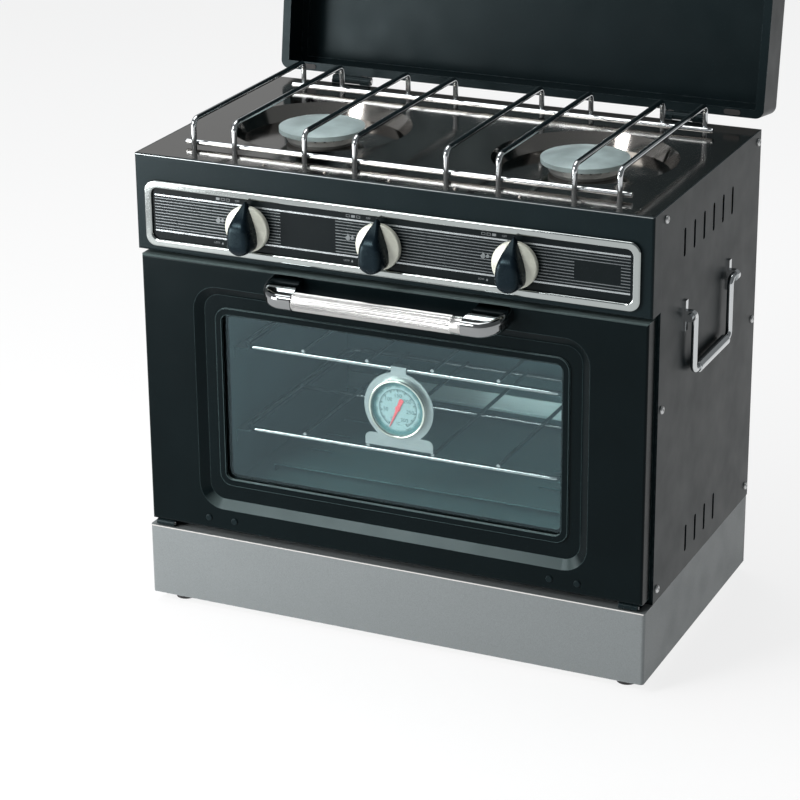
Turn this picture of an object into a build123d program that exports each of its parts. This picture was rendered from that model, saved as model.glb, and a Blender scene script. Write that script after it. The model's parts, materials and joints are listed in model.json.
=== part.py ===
from build123d import *
import math
import os

os.makedirs("parts", exist_ok=True)

# Two-burner camping stove with an oven under it. Millimetres, +Z up, the front faces -Y.
# Depths are counted backwards from the front face of the control fascia and the door.

# Body
body_width = 494
body_depth = 290
sheet = 1.2
corner_radius = 3
front_edge_radius = 2.5

# Feet and plinth
foot_height = 10
foot_radius = 12
foot_tip_radius = 9.5
foot_inset = 23
plinth_height = 69.5
plinth_flange = 26
pan_rim = 15

# Air slots in the sides
slot_rise = 30
slot_fall = 45

# Control fascia, its trim and plate
door_seat = 21
fascia_gap = 4.5
fascia_height = 90
top_hem = 3
trim_side = 10.5
trim_height = 61.7
trim_rise = 5.7
trim_bar = 7
trim_depth = 3.5
trim_radius = 10
plate_thickness = 0.8
plate_gap = 0.2

# Knobs and their stems
knob_rise = 34.8
knob_pitch = 128
knob_row_x = -3.5
knob_radius = 21
knob_back_gap = 3.3
knob_edge = 5
knob_dome = 3.5
knob_rim_radius = 1.6
grip_tip = 26
grip_tail = 20.4
grip_half_width = 10.8
grip_back = 6.4
grip_front = 26.5
grip_tip_front = 8.5
grip_shoulder = 5
stem_radius = 3
stem_clearance = 0.1
stem_front = 15
stem_back = 24
stem_travel = 2.2

# Door
door_gap = 7
door_side_gap = 3
door_height = 262
door_thickness = 19
emboss_side = 52
emboss_sill = 21.5
emboss_head = 22.5
emboss_ramp = 8.5
emboss_depth = 5.5
emboss_radius = 24
bead_side = 20
bead_sill = 23.8
bead_head = 20.2
bead_bar = 6
bead_rise = 2.2
bead_radius = 12
glass_thickness = 4
glass_lap = 10
seal_thickness = 1
tunnel_bar = 1.2

# Door handle
handle_x = 5
handle_foot_x = 101
handle_foot_drop = 9
bar_half = 81.3
bar_reach = 30
bar_height = 16
bar_depth = 10
bar_ribs = 7
bar_ferrule = 8
elbow_drop = 5.5
elbow_reach = 5.8
elbow_height = 15
elbow_inset = 3
elbow_bulge = 35.3
elbow_root = 8
elbow_flat = 11.7
elbow_edge = 5
screw_rise = 11
screw_inset = 60.5
screw_pitch = 26.5
catch_pitch = 300

# Oven
cavity_side = 80
cavity_sill = 48.5
cavity_head = 23.5
flue_gap = 18.6
liner_sheet = 1
liner_flange = 10
flame_width = 230
flame_length = 60
spreader_side = 22
spreader_length = 170
spreader_height = 8
spreader_slot_side = 27
spreader_slot_pitch = 40
rack_side_gap = 9
rack_inset = 8.8
rack_slack = 19
rack_sill = 53
rack_pitch = 81
rack_wire = 2.25
rack_rung = 1.75
rack_rung_pitch = 64
rack_corner = 12
rung_weld = 0.4
runner_ledge = 14
runner_web = 12
baffle_gap = 1
baffle_rise = 8.5
baffle_height = 16.5
baffle_reach = 5

# Hob, burners and grate
burner_inset = 117
dish_radius = 84
dish_floor_radius = 77
dish_depth = 14
throat_radius = 26
throat_clearance = 0.5
head_radius = 33
head_height = 12
head_ports = 24
cap_radius = 40
cap_height = 5.5
grate_wire = 2.5
grate_middle_x = 43.75
grate_inner_gap = 37.2
grate_outer_gap = 32.6
grate_end = 9.5
grate_leg_depth = 33.5
grate_rise = 27
grate_bend = 7
grate_rod_rise = 4.8
rod_inset = 34

# Gas train
manifold_radius = 6
manifold_bore = 4.6
manifold_drop = 19
manifold_depth = 33
manifold_end = 18.5
supply_inset = 29
feed_radius = 3
feed_inset = 13
feed_rise = 20
mixer_radius = 10
mixer_wall = 1.4
mixer_front = 62
oven_burner_rise = 12.5
oven_burner_radius = 12
oven_burner_left = 115
oven_burner_length = 240
oven_jet_gap = 13
oven_jet_length = 12
inlet_radius = 7.9
inlet_stub = 16

# Lid
lid_height = 45
lid_open_angle = 98
lid_rim_gap = 1
lid_flange = 8
lid_edge_radius = 8
hinge_back = 5
hinge_rise = 3
lid_hinge_inset = 77
lid_knuckle = 4
lid_pin = 2

# Door hinge
door_hinge_inset = 16
door_axis_depth = 3
door_axis_rise = 3.5
door_knuckle = 3
door_pin = 1.5
pin_clearance = 0.05

# Carry handles
carry_x = 6
carry_fall = 113
carry_half = 60
carry_drop = 55
carry_rod = 3
carry_sleeve = 5
ear_thickness = 6

# Thermometer
dial_hang = 36
dial_plate_radius = 34
dial_case_radius = 28
dial_glass_radius = 25.4
dial_sheet = 0.8
dial_case_front = 22
dial_clearance = 0.35
pointer_angle = 204
foot_rise = 12

# Worked-out values
plinth_top = foot_height + plinth_height
door_width = body_width - 2 * door_side_gap
door_bottom = plinth_top + door_gap
door_top = door_bottom + door_height
fascia_bottom = door_top + fascia_gap
hob_height = fascia_bottom + fascia_height
trim_width = body_width - 2 * trim_side
trim_bottom = fascia_bottom + trim_rise
knob_height = fascia_bottom + knob_rise
emboss_width = door_width - 2 * emboss_side
emboss_height = door_height - emboss_sill - emboss_head
emboss_centre = door_bottom + emboss_sill + emboss_height / 2
bead_width = emboss_width - 2 * bead_side
bead_height = emboss_height - bead_sill - bead_head
bead_centre = door_bottom + emboss_sill + bead_sill + bead_height / 2
handle_foot_z = door_top - handle_foot_drop
bar_z = handle_foot_z - elbow_drop
burner_x = body_width / 2 - burner_inset
burner_depth = body_depth / 2
grate_rod_half = body_width / 2 - rod_inset
grate_wires_x = (
    grate_middle_x,
    burner_x - grate_inner_gap,
    burner_x + grate_outer_gap,
    grate_rod_half - grate_end,
)
supply_x = body_width / 2 - supply_inset
feed_x = supply_x - feed_inset
lid_hinge_x = body_width / 2 - lid_hinge_inset
door_hinge_x = body_width / 2 - door_hinge_inset
lid_reach = body_depth + hinge_back
lean = math.radians(lid_open_angle - 90)
lid_back = (
    lid_reach
    + (lid_reach - lid_edge_radius) * math.sin(lean)
    + (lid_height - hinge_rise + lid_rim_gap - lid_edge_radius) * math.cos(lean)
    + lid_edge_radius
)
bar_front = bar_reach + bar_depth / 2
handle_front = bar_reach + elbow_reach
front_y = -(lid_back - handle_front) / 2
mid_y = front_y + body_depth / 2
knob_xs = [knob_row_x + knob_pitch * i for i in (-1, 0, 1)]
inner_half = body_width / 2 - sheet
frame_back = door_seat + sheet
dish_floor = hob_height - dish_depth
manifold_left = manifold_end - knob_xs[0]
cavity_width = body_width - 2 * cavity_side
cavity_bottom = plinth_top + cavity_sill
cavity_top = door_top - cavity_head
cavity_depth = body_depth - sheet - flue_gap - liner_sheet - frame_back
feed_height = cavity_top + feed_rise
oven_burner_z = plinth_top + oven_burner_rise
oven_burner_right = oven_burner_length - oven_burner_left
oven_jet_x = oven_burner_right + oven_jet_gap
spreader_width = cavity_width - 2 * spreader_side
rack_width = cavity_width - 2 * rack_side_gap
rack_front = frame_back + rack_inset
rack_length = cavity_depth - rack_slack
rack_low = cavity_bottom + rack_sill
rack_high = rack_low + rack_pitch
dial_z = rack_high - dial_hang
baffle_half = cavity_width / 2 - baffle_gap
baffle_bottom = cavity_bottom + baffle_rise
carry_z = hob_height - carry_fall


def depth_y(depth):
    """The Y of a place this far behind the front face."""
    return front_y + depth


def front(depth):
    """A plane that faces the front, this far behind the front face."""
    return Plane.XZ.offset(-depth_y(depth))


def level(height):
    """A level plane at this height."""
    return Plane.XY.offset(height)


def side(x):
    """A plane across the body at this X, facing +X."""
    return Plane.YZ.offset(x)


def save(piece, name):
    """Label one finished sub-part and write it."""
    piece.part.label = name
    export_step(piece.part, f"parts/{name}.step")


# Plinth: a silver skirt with a flange folded in at the top
with BuildPart() as plinth:
    with BuildSketch(level(foot_height)):
        with Locations((0, mid_y)):
            RectangleRounded(body_width, body_depth, corner_radius)
    extrude(amount=plinth_height)
    with BuildSketch(level(foot_height)):
        with Locations((0, mid_y)):
            RectangleRounded(body_width - 2 * sheet, body_depth - 2 * sheet, corner_radius - sheet)
    extrude(amount=plinth_height - sheet, mode=Mode.SUBTRACT)
    with BuildSketch(level(plinth_top - sheet)):
        with Locations((0, mid_y)):
            Rectangle(body_width - 2 * plinth_flange, body_depth - 2 * plinth_flange)
    extrude(amount=sheet, mode=Mode.SUBTRACT)
save(plinth, "plinth")

# Base pan: a shallow tray with air slots, inside the plinth
with BuildPart() as base_pan:
    with BuildSketch(level(foot_height)):
        with Locations((0, mid_y)):
            RectangleRounded(body_width - 2 * sheet, body_depth - 2 * sheet, corner_radius - sheet)
    extrude(amount=pan_rim)
    with BuildSketch(level(foot_height + sheet)):
        with Locations((0, mid_y)):
            Rectangle(body_width - 4 * sheet, body_depth - 4 * sheet)
    extrude(amount=pan_rim, mode=Mode.SUBTRACT)
    with BuildSketch(level(foot_height)):
        with Locations((0, mid_y)):
            with GridLocations(70, 56, 4, 3):
                SlotOverall(44, 6)
    extrude(amount=sheet, mode=Mode.SUBTRACT)
save(base_pan, "base_pan")

# Feet: four rubber cones, each under a corner
with BuildPart() as feet:
    with BuildSketch(level(foot_height)):
        with Locations((0, mid_y)):
            with GridLocations(body_width - 2 * foot_inset, body_depth - 2 * foot_inset, 2, 2):
                Circle(foot_radius)
    foot_taper = math.degrees(math.atan((foot_radius - foot_tip_radius) / foot_height))
    extrude(amount=-foot_height, taper=foot_taper)
save(feet, "feet")

# Side panels, with air slots low down and near the top
for hand, name in ((-1, "side_panel_left"), (1, "side_panel_right")):
    with BuildPart() as side_panel:
        with BuildSketch(side(hand * inner_half)):
            with Locations((depth_y((door_seat + body_depth) / 2), (plinth_top + hob_height) / 2)):
                Rectangle(body_depth - door_seat, hob_height - plinth_top)
        extrude(amount=hand * sheet)
        for slot_z, slot_count in ((plinth_top + slot_rise, 4), (hob_height - slot_fall, 6)):
            with BuildSketch(side(hand * inner_half)):
                with Locations((mid_y, slot_z)):
                    with GridLocations(26, 1, slot_count, 1):
                        SlotOverall(26, 5, rotation=90)
            extrude(amount=hand * sheet, mode=Mode.SUBTRACT)
    save(side_panel, name)

# Rear panel, with flue slots, low air slots and the hole for the gas inlet
inlet_z = knob_height - manifold_drop
with BuildPart() as rear_panel:
    with BuildSketch(front(body_depth)):
        with Locations((0, (plinth_top + hob_height) / 2)):
            Rectangle(body_width - 2 * sheet, hob_height - plinth_top)
    extrude(amount=sheet)
    with BuildSketch(front(body_depth)):
        with Locations((0, cavity_top - 20)):
            with GridLocations(50, 12, 5, 2):
                SlotOverall(38, 5)
        with Locations((0, plinth_top + 22)):
            with GridLocations(50, 12, 7, 1):
                SlotOverall(38, 5)
        with Locations((supply_x, inlet_z)):
            Circle(inlet_radius + 0.3)
    extrude(amount=sheet, mode=Mode.SUBTRACT)
save(rear_panel, "rear_panel")

# Front frame: the plate round the oven's mouth that the door shuts against
mouth_z = (cavity_bottom + cavity_top) / 2
mouth_height = cavity_top - cavity_bottom
with BuildPart() as front_frame:
    with BuildSketch(front(door_seat)):
        with Locations((0, (plinth_top + fascia_bottom) / 2)):
            Rectangle(2 * inner_half, fascia_bottom - plinth_top)
        with Locations((0, mouth_z)):
            Rectangle(cavity_width, mouth_height, mode=Mode.SUBTRACT)
    extrude(amount=-sheet)
save(front_frame, "front_frame")

# Control fascia: a folded channel with stem holes, a bottom return and a narrow top hem
with BuildPart() as fascia:
    with BuildSketch(front(0)):
        with Locations((0, (fascia_bottom + hob_height) / 2)):
            Rectangle(body_width, hob_height - fascia_bottom)
    extrude(amount=-door_seat)
    fillet(fascia.faces().sort_by(Axis.Y)[0].edges(), radius=front_edge_radius)
    with BuildSketch(front(sheet)):
        with Locations((0, (fascia_bottom + hob_height) / 2)):
            Rectangle(2 * inner_half, hob_height - fascia_bottom - 2 * sheet)
    extrude(amount=-door_seat, mode=Mode.SUBTRACT)
    with BuildSketch(level(hob_height - 2 * sheet)):
        with Locations((0, depth_y((top_hem + door_seat) / 2))):
            Rectangle(2 * inner_half, door_seat - top_hem)
    extrude(amount=2 * sheet, mode=Mode.SUBTRACT)
    with BuildSketch(front(0)):
        with Locations(*[(x, knob_height) for x in knob_xs]):
            Circle(stem_radius + 2)
    extrude(amount=-sheet, mode=Mode.SUBTRACT)
save(fascia, "fascia")

# Bright trim: a rounded frame on the fascia
trim_z = trim_bottom + trim_height / 2
plate_width = trim_width - 2 * trim_bar
plate_height = trim_height - 2 * trim_bar
with BuildPart() as trim_frame:
    with BuildSketch(front(0)):
        with Locations((0, trim_z)):
            RectangleRounded(trim_width, trim_height, trim_radius)
            RectangleRounded(plate_width, plate_height, trim_radius - trim_bar + 3, mode=Mode.SUBTRACT)
    extrude(amount=trim_depth)
    fillet(trim_frame.faces().sort_by(Axis.Y)[0].edges(), radius=1.7)
save(trim_frame, "trim_frame")

# Control plate inside the trim
with BuildPart() as control_plate:
    with BuildSketch(front(0)):
        with Locations((0, trim_z)):
            RectangleRounded(
                plate_width - 2 * plate_gap, plate_height - 2 * plate_gap, trim_radius - trim_bar + 3
            )
        with Locations(*[(x, knob_height) for x in knob_xs]):
            Circle(stem_radius + 1.5, mode=Mode.SUBTRACT)
    extrude(amount=plate_thickness)
save(control_plate, "control_plate")

# Hob pan: polished sheet with two pressed dishes and a rim turned down all round
with BuildPart() as hob_pan:
    pan_front = top_hem
    pan_back = body_depth - sheet
    with BuildSketch(level(hob_height)):
        with Locations((0, depth_y((pan_front + pan_back) / 2))):
            Rectangle(2 * inner_half, pan_back - pan_front)
    extrude(amount=-12)
    with BuildSketch(level(hob_height - sheet)):
        with Locations((0, depth_y((pan_front + pan_back) / 2))):
            Rectangle(2 * inner_half - 2 * sheet, pan_back - pan_front - 2 * sheet)
    extrude(amount=-12, mode=Mode.SUBTRACT)
    with BuildSketch(level(hob_height)):
        with Locations((-burner_x, depth_y(burner_depth)), (burner_x, depth_y(burner_depth))):
            Circle(dish_radius)
    extrude(amount=-sheet, mode=Mode.SUBTRACT)
    for x in (-burner_x, burner_x):
        centre = (x, depth_y(burner_depth), hob_height)
        hole = throat_radius + throat_clearance
        with BuildSketch(Plane(origin=centre, x_dir=(1, 0, 0), z_dir=(0, -1, 0))):
            with BuildLine():
                Polyline(
                    (dish_radius + 1, 0),
                    (dish_radius, 0),
                    (dish_floor_radius, -dish_depth),
                    (hole, -dish_depth),
                    (hole, -dish_depth - sheet),
                    (dish_floor_radius + 1, -dish_depth - sheet),
                    (dish_radius + 1, -sheet),
                    close=True,
                )
            make_face()
        revolve(axis=Axis((x, depth_y(burner_depth), 0), (0, 0, 1)))
save(hob_pan, "hob_pan")

# Burner heads: cast cups with a ring of ports, standing in the dishes
with BuildPart() as burner_heads:
    for x in (-burner_x, burner_x):
        centre = (x, depth_y(burner_depth), dish_floor)
        with BuildSketch(Plane(origin=centre, x_dir=(1, 0, 0), z_dir=(0, -1, 0))):
            with BuildLine():
                Polyline(
                    (mixer_radius - mixer_wall, -17),
                    (throat_radius, -17),
                    (throat_radius, 0),
                    (head_radius - 2, 0),
                    (head_radius, 3),
                    (head_radius, head_height),
                    (head_radius - 4, head_height),
                    (head_radius - 4, 3),
                    (mixer_radius - mixer_wall, 3),
                    close=True,
                )
            make_face()
        revolve(axis=Axis((x, depth_y(burner_depth), 0), (0, 0, 1)))
        with BuildSketch(level(dish_floor + head_height)):
            with Locations((x, depth_y(burner_depth))):
                with PolarLocations(head_radius - 2, head_ports):
                    Rectangle(6, 1.8)
        extrude(amount=-5, mode=Mode.SUBTRACT)
save(burner_heads, "burner_heads")

# Burner caps: domed discs with a lip
for hand, name in ((-1, "burner_cap_left"), (1, "burner_cap_right")):
    with BuildPart() as burner_cap:
        centre = (hand * burner_x, depth_y(burner_depth), dish_floor + head_height)
        with BuildSketch(Plane(origin=centre, x_dir=(1, 0, 0), z_dir=(0, -1, 0))):
            with BuildLine():
                Polyline(
                    (0, cap_height),
                    (0, 0),
                    (cap_radius - 3, 0),
                    (cap_radius - 2.6, -2),
                    (cap_radius, -2),
                    (cap_radius, 2.2),
                )
                ThreePointArc((cap_radius, 2.2), (cap_radius * 0.7, cap_height - 0.9), (cap_radius * 0.3, cap_height))
                Line((cap_radius * 0.3, cap_height), (0, cap_height))
            make_face()
        revolve(axis=Axis((hand * burner_x, depth_y(burner_depth), 0), (0, 0, 1)))
    save(burner_cap, name)

# Mixer tubes: from each outer valve's jet back and up into its burner
with BuildPart() as mixer_tubes:
    for x in (-burner_x, burner_x):
        with BuildLine() as mixer_path:
            FilletPolyline(
                (x, depth_y(mixer_front), knob_height),
                (x, depth_y(burner_depth), knob_height),
                (x, depth_y(burner_depth), dish_floor - 17),
                radius=20,
            )
        with BuildSketch(front(mixer_front)):
            with Locations((x, knob_height)):
                Circle(mixer_radius)
                Circle(mixer_radius - mixer_wall, mode=Mode.SUBTRACT)
        sweep(path=mixer_path.wires()[0])
        with BuildSketch(front(mixer_front)):
            with Locations((x, knob_height)):
                Circle(mixer_radius + 3)
                Circle(mixer_radius - mixer_wall, mode=Mode.SUBTRACT)
        extrude(amount=-4)
save(mixer_tubes, "mixer_tubes")

# Gas valves: three brass bodies saddled on the manifold, two with a jet at the back
with BuildPart() as gas_valves:
    for x, jet in zip(knob_xs, (True, False, True)):
        with BuildSketch(front(20)):
            with Locations((x, knob_height - 2)):
                Rectangle(22, 28)
        extrude(amount=-26)
        with BuildSketch(front(14)):
            with Locations((x, knob_height)):
                RegularPolygon(9, 6)
        extrude(amount=-6)
        if jet:
            with BuildSketch(front(46)):
                with Locations((x, knob_height)):
                    Circle(5)
            extrude(amount=-10, taper=12)
        with BuildSketch(front(14)):
            with Locations((x, knob_height)):
                Circle(stem_radius + stem_clearance)
        extrude(amount=-(stem_back + stem_travel + 1 - 14), mode=Mode.SUBTRACT)
    with BuildSketch(side(-manifold_left)):
        with Locations((depth_y(manifold_depth), inlet_z)):
            Circle(manifold_radius)
    extrude(amount=2 * manifold_left, mode=Mode.SUBTRACT)
save(gas_valves, "gas_valves")

# Manifold: one bent pipe under the valves, along the right side and back to the inlet
with BuildPart() as manifold:
    with BuildLine() as manifold_path:
        FilletPolyline(
            (-manifold_left, depth_y(manifold_depth), inlet_z),
            (supply_x, depth_y(manifold_depth), inlet_z),
            (supply_x, depth_y(body_depth - 18), inlet_z),
            radius=16,
        )
    with BuildSketch(side(-manifold_left)):
        with Locations((depth_y(manifold_depth), inlet_z)):
            Circle(manifold_radius)
            Circle(manifold_bore, mode=Mode.SUBTRACT)
    sweep(path=manifold_path.wires()[0])
    with BuildSketch(side(-manifold_left - 3)):
        with Locations((depth_y(manifold_depth), inlet_z)):
            Circle(manifold_radius + 1)
    extrude(amount=3)
save(manifold, "manifold")

# Gas inlet: a brass bulkhead fitting with a threaded stub behind the rear panel
with BuildPart() as gas_inlet:
    with BuildSketch(front(body_depth - 18)):
        with Locations((supply_x, inlet_z)):
            Circle(10)
    extrude(amount=-(18 - sheet))
    with BuildSketch(front(body_depth - sheet)):
        with Locations((supply_x, inlet_z)):
            Circle(inlet_radius)
    extrude(amount=-(sheet + 6 + inlet_stub))
    with BuildSketch(front(body_depth)):
        with Locations((supply_x, inlet_z)):
            RegularPolygon(12, 6)
    extrude(amount=-6)
    with BuildSketch(front(body_depth - 18)):
        with Locations((supply_x, inlet_z)):
            Circle(3)
    extrude(amount=-(24 + inlet_stub), mode=Mode.SUBTRACT)
save(gas_inlet, "gas_inlet")

# Oven feed pipe: from the middle valve round the liner to the oven burner's jet
with BuildPart() as oven_feed_pipe:
    with BuildLine() as feed_path:
        FilletPolyline(
            (knob_xs[1], depth_y(46), knob_height),
            (knob_xs[1], depth_y(74), knob_height),
            (knob_xs[1], depth_y(74), feed_height),
            (feed_x, depth_y(74), feed_height),
            (feed_x, depth_y(74), oven_burner_z),
            (feed_x, depth_y(burner_depth), oven_burner_z),
            (oven_jet_x + oven_jet_length, depth_y(burner_depth), oven_burner_z),
            radius=12,
        )
    with BuildSketch(front(46)):
        with Locations((knob_xs[1], knob_height)):
            Circle(feed_radius)
            Circle(feed_radius - 1, mode=Mode.SUBTRACT)
    sweep(path=feed_path.wires()[0])
    with BuildSketch(side(oven_jet_x)):
        with Locations((depth_y(burner_depth), oven_burner_z)):
            RegularPolygon(6, 6)
            Circle(1, mode=Mode.SUBTRACT)
    extrude(amount=oven_jet_length)
save(oven_feed_pipe, "oven_feed_pipe")

# Oven burner: a drilled tube on two legs that stand on the base pan
with BuildPart() as oven_burner:
    with BuildSketch(side(-oven_burner_left)):
        with Locations((depth_y(burner_depth), oven_burner_z)):
            Circle(oven_burner_radius)
    extrude(amount=oven_burner_length)
    with BuildSketch(side(oven_burner_right - 5)):
        with Locations((depth_y(burner_depth), oven_burner_z)):
            Circle(oven_burner_radius + 3)
    extrude(amount=8)
    with BuildSketch(side(23 - oven_burner_left), side(oven_burner_right - 41)):
        with Locations((depth_y(burner_depth), (foot_height + sheet + oven_burner_z) / 2)):
            Rectangle(14, oven_burner_z - foot_height - sheet)
    extrude(amount=2)
    with BuildSketch(side(3 - oven_burner_left)):
        with Locations((depth_y(burner_depth), oven_burner_z)):
            Circle(oven_burner_radius - 1.5)
    extrude(amount=oven_burner_length, mode=Mode.SUBTRACT)
    with BuildSketch(front(burner_depth)):
        with Locations((0, oven_burner_z + 3)):
            with GridLocations(14, 1, 14, 1):
                Circle(1.3)
    extrude(amount=20, both=True, mode=Mode.SUBTRACT)
save(oven_burner, "oven_burner")

# Oven liner: a box open at the front, with a flange, a flame opening and flue slots
with BuildPart() as oven_liner:
    liner_back = frame_back + cavity_depth + liner_sheet
    with BuildSketch(front(frame_back)):
        with Locations((0, mouth_z)):
            Rectangle(cavity_width + 2 * liner_sheet, mouth_height + 2 * liner_sheet)
    extrude(amount=-(cavity_depth + liner_sheet))
    with BuildSketch(front(frame_back)):
        with Locations((0, mouth_z)):
            Rectangle(cavity_width + 2 * liner_flange, mouth_height + 2 * liner_flange)
    extrude(amount=-liner_sheet)
    with BuildSketch(front(frame_back)):
        with Locations((0, mouth_z)):
            Rectangle(cavity_width, mouth_height)
    extrude(amount=-cavity_depth, mode=Mode.SUBTRACT)
    with BuildSketch(level(cavity_bottom - liner_sheet)):
        with Locations((0, depth_y(burner_depth))):
            Rectangle(flame_width, flame_length)
    extrude(amount=liner_sheet, mode=Mode.SUBTRACT)
    with BuildSketch(front(liner_back)):
        with Locations((0, cavity_top - 20)):
            with GridLocations(50, 12, 5, 1):
                SlotOverall(38, 5)
    extrude(amount=liner_sheet, mode=Mode.SUBTRACT)
save(oven_liner, "oven_liner")

# Rack runners: four angle ledges on the liner's side walls
with BuildPart() as rack_runners:
    for rack_z in (rack_low, rack_high):
        ledge_top = rack_z - rack_wire
        with BuildSketch(front(rack_front - 1)):
            for hand in (-1, 1):
                wall_x = hand * cavity_width / 2
                with Locations((wall_x - hand * runner_ledge / 2, ledge_top - sheet / 2)):
                    Rectangle(runner_ledge, sheet)
                with Locations((wall_x - hand * sheet / 2, ledge_top - runner_web / 2)):
                    Rectangle(sheet, runner_web)
        extrude(amount=-(rack_length + 4))
save(rack_runners, "rack_runners")

# Rear baffle: a bright strip folded from sheet, standing off the liner's back wall
with BuildPart() as rear_baffle:
    baffle_back = frame_back + cavity_depth
    with BuildSketch(side(-baffle_half)):
        with BuildLine():
            Polyline(
                (depth_y(baffle_back), baffle_bottom),
                (depth_y(baffle_back - baffle_reach), baffle_bottom),
                (depth_y(baffle_back - baffle_reach), baffle_bottom + sheet),
                (depth_y(baffle_back - 2 * sheet), baffle_bottom + sheet),
                (depth_y(baffle_back - sheet), baffle_bottom + baffle_height),
                (depth_y(baffle_back), baffle_bottom + baffle_height),
                close=True,
            )
        make_face()
    extrude(amount=2 * baffle_half)
save(rear_baffle, "rear_baffle")

# Heat spreader: a folded plate over the flame opening, standing on the oven floor
with BuildPart() as heat_spreader:
    with BuildSketch(level(cavity_bottom)):
        with Locations((0, depth_y(burner_depth))):
            Rectangle(spreader_width, spreader_length)
    extrude(amount=spreader_height)
    with BuildSketch(front(burner_depth - spreader_length / 2)):
        with Locations((0, cavity_bottom + (spreader_height - sheet) / 2)):
            Rectangle(spreader_width - 2 * sheet, spreader_height - sheet)
    extrude(amount=-spreader_length, mode=Mode.SUBTRACT)
    with BuildSketch(level(cavity_bottom)):
        with Locations((0, depth_y(burner_depth))):
            with GridLocations(spreader_width - 2 * spreader_slot_side, spreader_slot_pitch, 2, 3):
                SlotOverall(26, 5)
    extrude(amount=spreader_height, mode=Mode.SUBTRACT)
save(heat_spreader, "heat_spreader")

# Oven racks: a bent wire frame with rungs welded on top and one brace under them
for rack_z, name in ((rack_low, "rack_lower"), (rack_high, "rack_upper")):
    with BuildPart() as rack:
        rack_back = rack_front + rack_length
        half = rack_width / 2
        with BuildLine(level(rack_z)) as rack_path:
            FilletPolyline(
                (half, depth_y(rack_front)),
                (half, depth_y(rack_back)),
                (-half, depth_y(rack_back)),
                (-half, depth_y(rack_front)),
                radius=rack_corner,
                close=True,
            )
        rack_wire_path = rack_path.wires()[0]
        with BuildSketch(Plane(origin=rack_wire_path @ 0, z_dir=rack_wire_path % 0)):
            Circle(rack_wire)
        sweep(path=rack_wire_path)
        rung_z = rack_z + rack_wire + rack_rung - rung_weld
        with BuildSketch(front(rack_front - 1.5)):
            with Locations((0, rung_z)):
                with GridLocations(rack_rung_pitch, 1, 4, 1):
                    Circle(rack_rung)
        extrude(amount=-(rack_length + 3))
        with BuildSketch(side(-half)):
            with Locations((depth_y(rack_front + rack_length / 2), rack_z + 0.3)):
                Circle(rack_rung)
        extrude(amount=rack_width)
    save(rack, name)

# Thermometer: a stamped plate that hooks over the upper rack's front wire
plate_back = rack_front - rack_wire - dial_clearance
hook_top = rack_high + rack_wire + dial_clearance
hook_back = rack_front + rack_wire + dial_clearance
foot_z = rack_low + rack_wire + 2 * rack_rung - rung_weld + 0.5
with BuildPart() as thermometer_plate:
    with BuildSketch(front(plate_back)):
        with Locations((0, dial_z)):
            Circle(dial_plate_radius)
        with Locations((0, (dial_z + hook_top) / 2)):
            Rectangle(15, hook_top + 2 * dial_sheet - dial_z)
        with Locations((0, foot_z + foot_rise - 9.5)):
            RectangleRounded(67, 19, 6)
        with Locations((0, foot_z - 10)):
            Rectangle(80, 20, mode=Mode.SUBTRACT)
    extrude(amount=dial_sheet)
    with BuildSketch(side(-7.5)):
        with Locations((depth_y((plate_back + hook_back + dial_sheet) / 2), hook_top + dial_sheet / 2)):
            Rectangle(hook_back + dial_sheet - plate_back + 0.4, dial_sheet)
        with Locations((depth_y(hook_back + dial_sheet / 2), hook_top - 2.5)):
            Rectangle(dial_sheet, 6)
    extrude(amount=15)
save(thermometer_plate, "thermometer_plate")

case_back = plate_back - dial_sheet
dial_axis = Axis((0, 0, dial_z), (0, 1, 0))
with BuildPart() as thermometer_case:
    with BuildSketch(Plane(origin=(0, depth_y(0), dial_z), x_dir=(1, 0, 0), z_dir=(0, 0, 1))):
        with BuildLine():
            Polyline(
                (0, case_back),
                (dial_case_radius, case_back),
                (dial_case_radius, dial_case_front + 1),
                (dial_case_radius - 1, dial_case_front),
                (dial_glass_radius, dial_case_front),
                (dial_glass_radius, dial_case_front + dial_sheet),
                (dial_case_radius - 1.5, dial_case_front + dial_sheet),
                (dial_case_radius - 1.5, case_back - dial_sheet),
                (0, case_back - dial_sheet),
                close=True,
            )
        make_face()
    revolve(axis=dial_axis)
save(thermometer_case, "thermometer_case")

with BuildPart() as thermometer_dial:
    with BuildSketch(front(case_back - dial_sheet)):
        with Locations((0, dial_z)):
            Circle(dial_case_radius - 1.5)
    extrude(amount=0.6)
save(thermometer_dial, "thermometer_dial")

with BuildPart() as thermometer_glass:
    with BuildSketch(front(dial_case_front + dial_sheet)):
        with Locations((0, dial_z)):
            Circle(dial_case_radius - 1.5)
    extrude(amount=-0.9)
save(thermometer_glass, "thermometer_glass")

with BuildPart() as thermometer_pointer:
    with BuildSketch(front(case_back - dial_sheet - 0.9)):
        with Locations((0, dial_z)):
            Circle(2.6)
            Polygon((-0.5, 20), (-1.5, -8), (1.5, -8), (0.5, 20), rotation=-pointer_angle, align=None)
    extrude(amount=0.6)
save(thermometer_pointer, "thermometer_pointer")

# Rope gasket on the front frame, round the oven's mouth
with BuildPart() as door_gasket:
    with BuildSketch(front(door_seat)):
        with Locations((0, mouth_z)):
            RectangleRounded(cavity_width + 22, mouth_height + 22, 12)
            RectangleRounded(cavity_width + 6, mouth_height + 6, 6, mode=Mode.SUBTRACT)
    extrude(amount=door_seat - door_thickness - 0.3)
save(door_gasket, "door_gasket")

# Magnet catches on the front frame, over the gasket
with BuildPart() as magnet_catches:
    with BuildSketch(front(door_seat)):
        with Locations((0, door_top - 6)):
            with GridLocations(catch_pitch, 1, 2, 1):
                RectangleRounded(36, 7, 1.5)
    extrude(amount=door_seat - door_thickness - 0.3)
save(magnet_catches, "magnet_catches")


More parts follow.
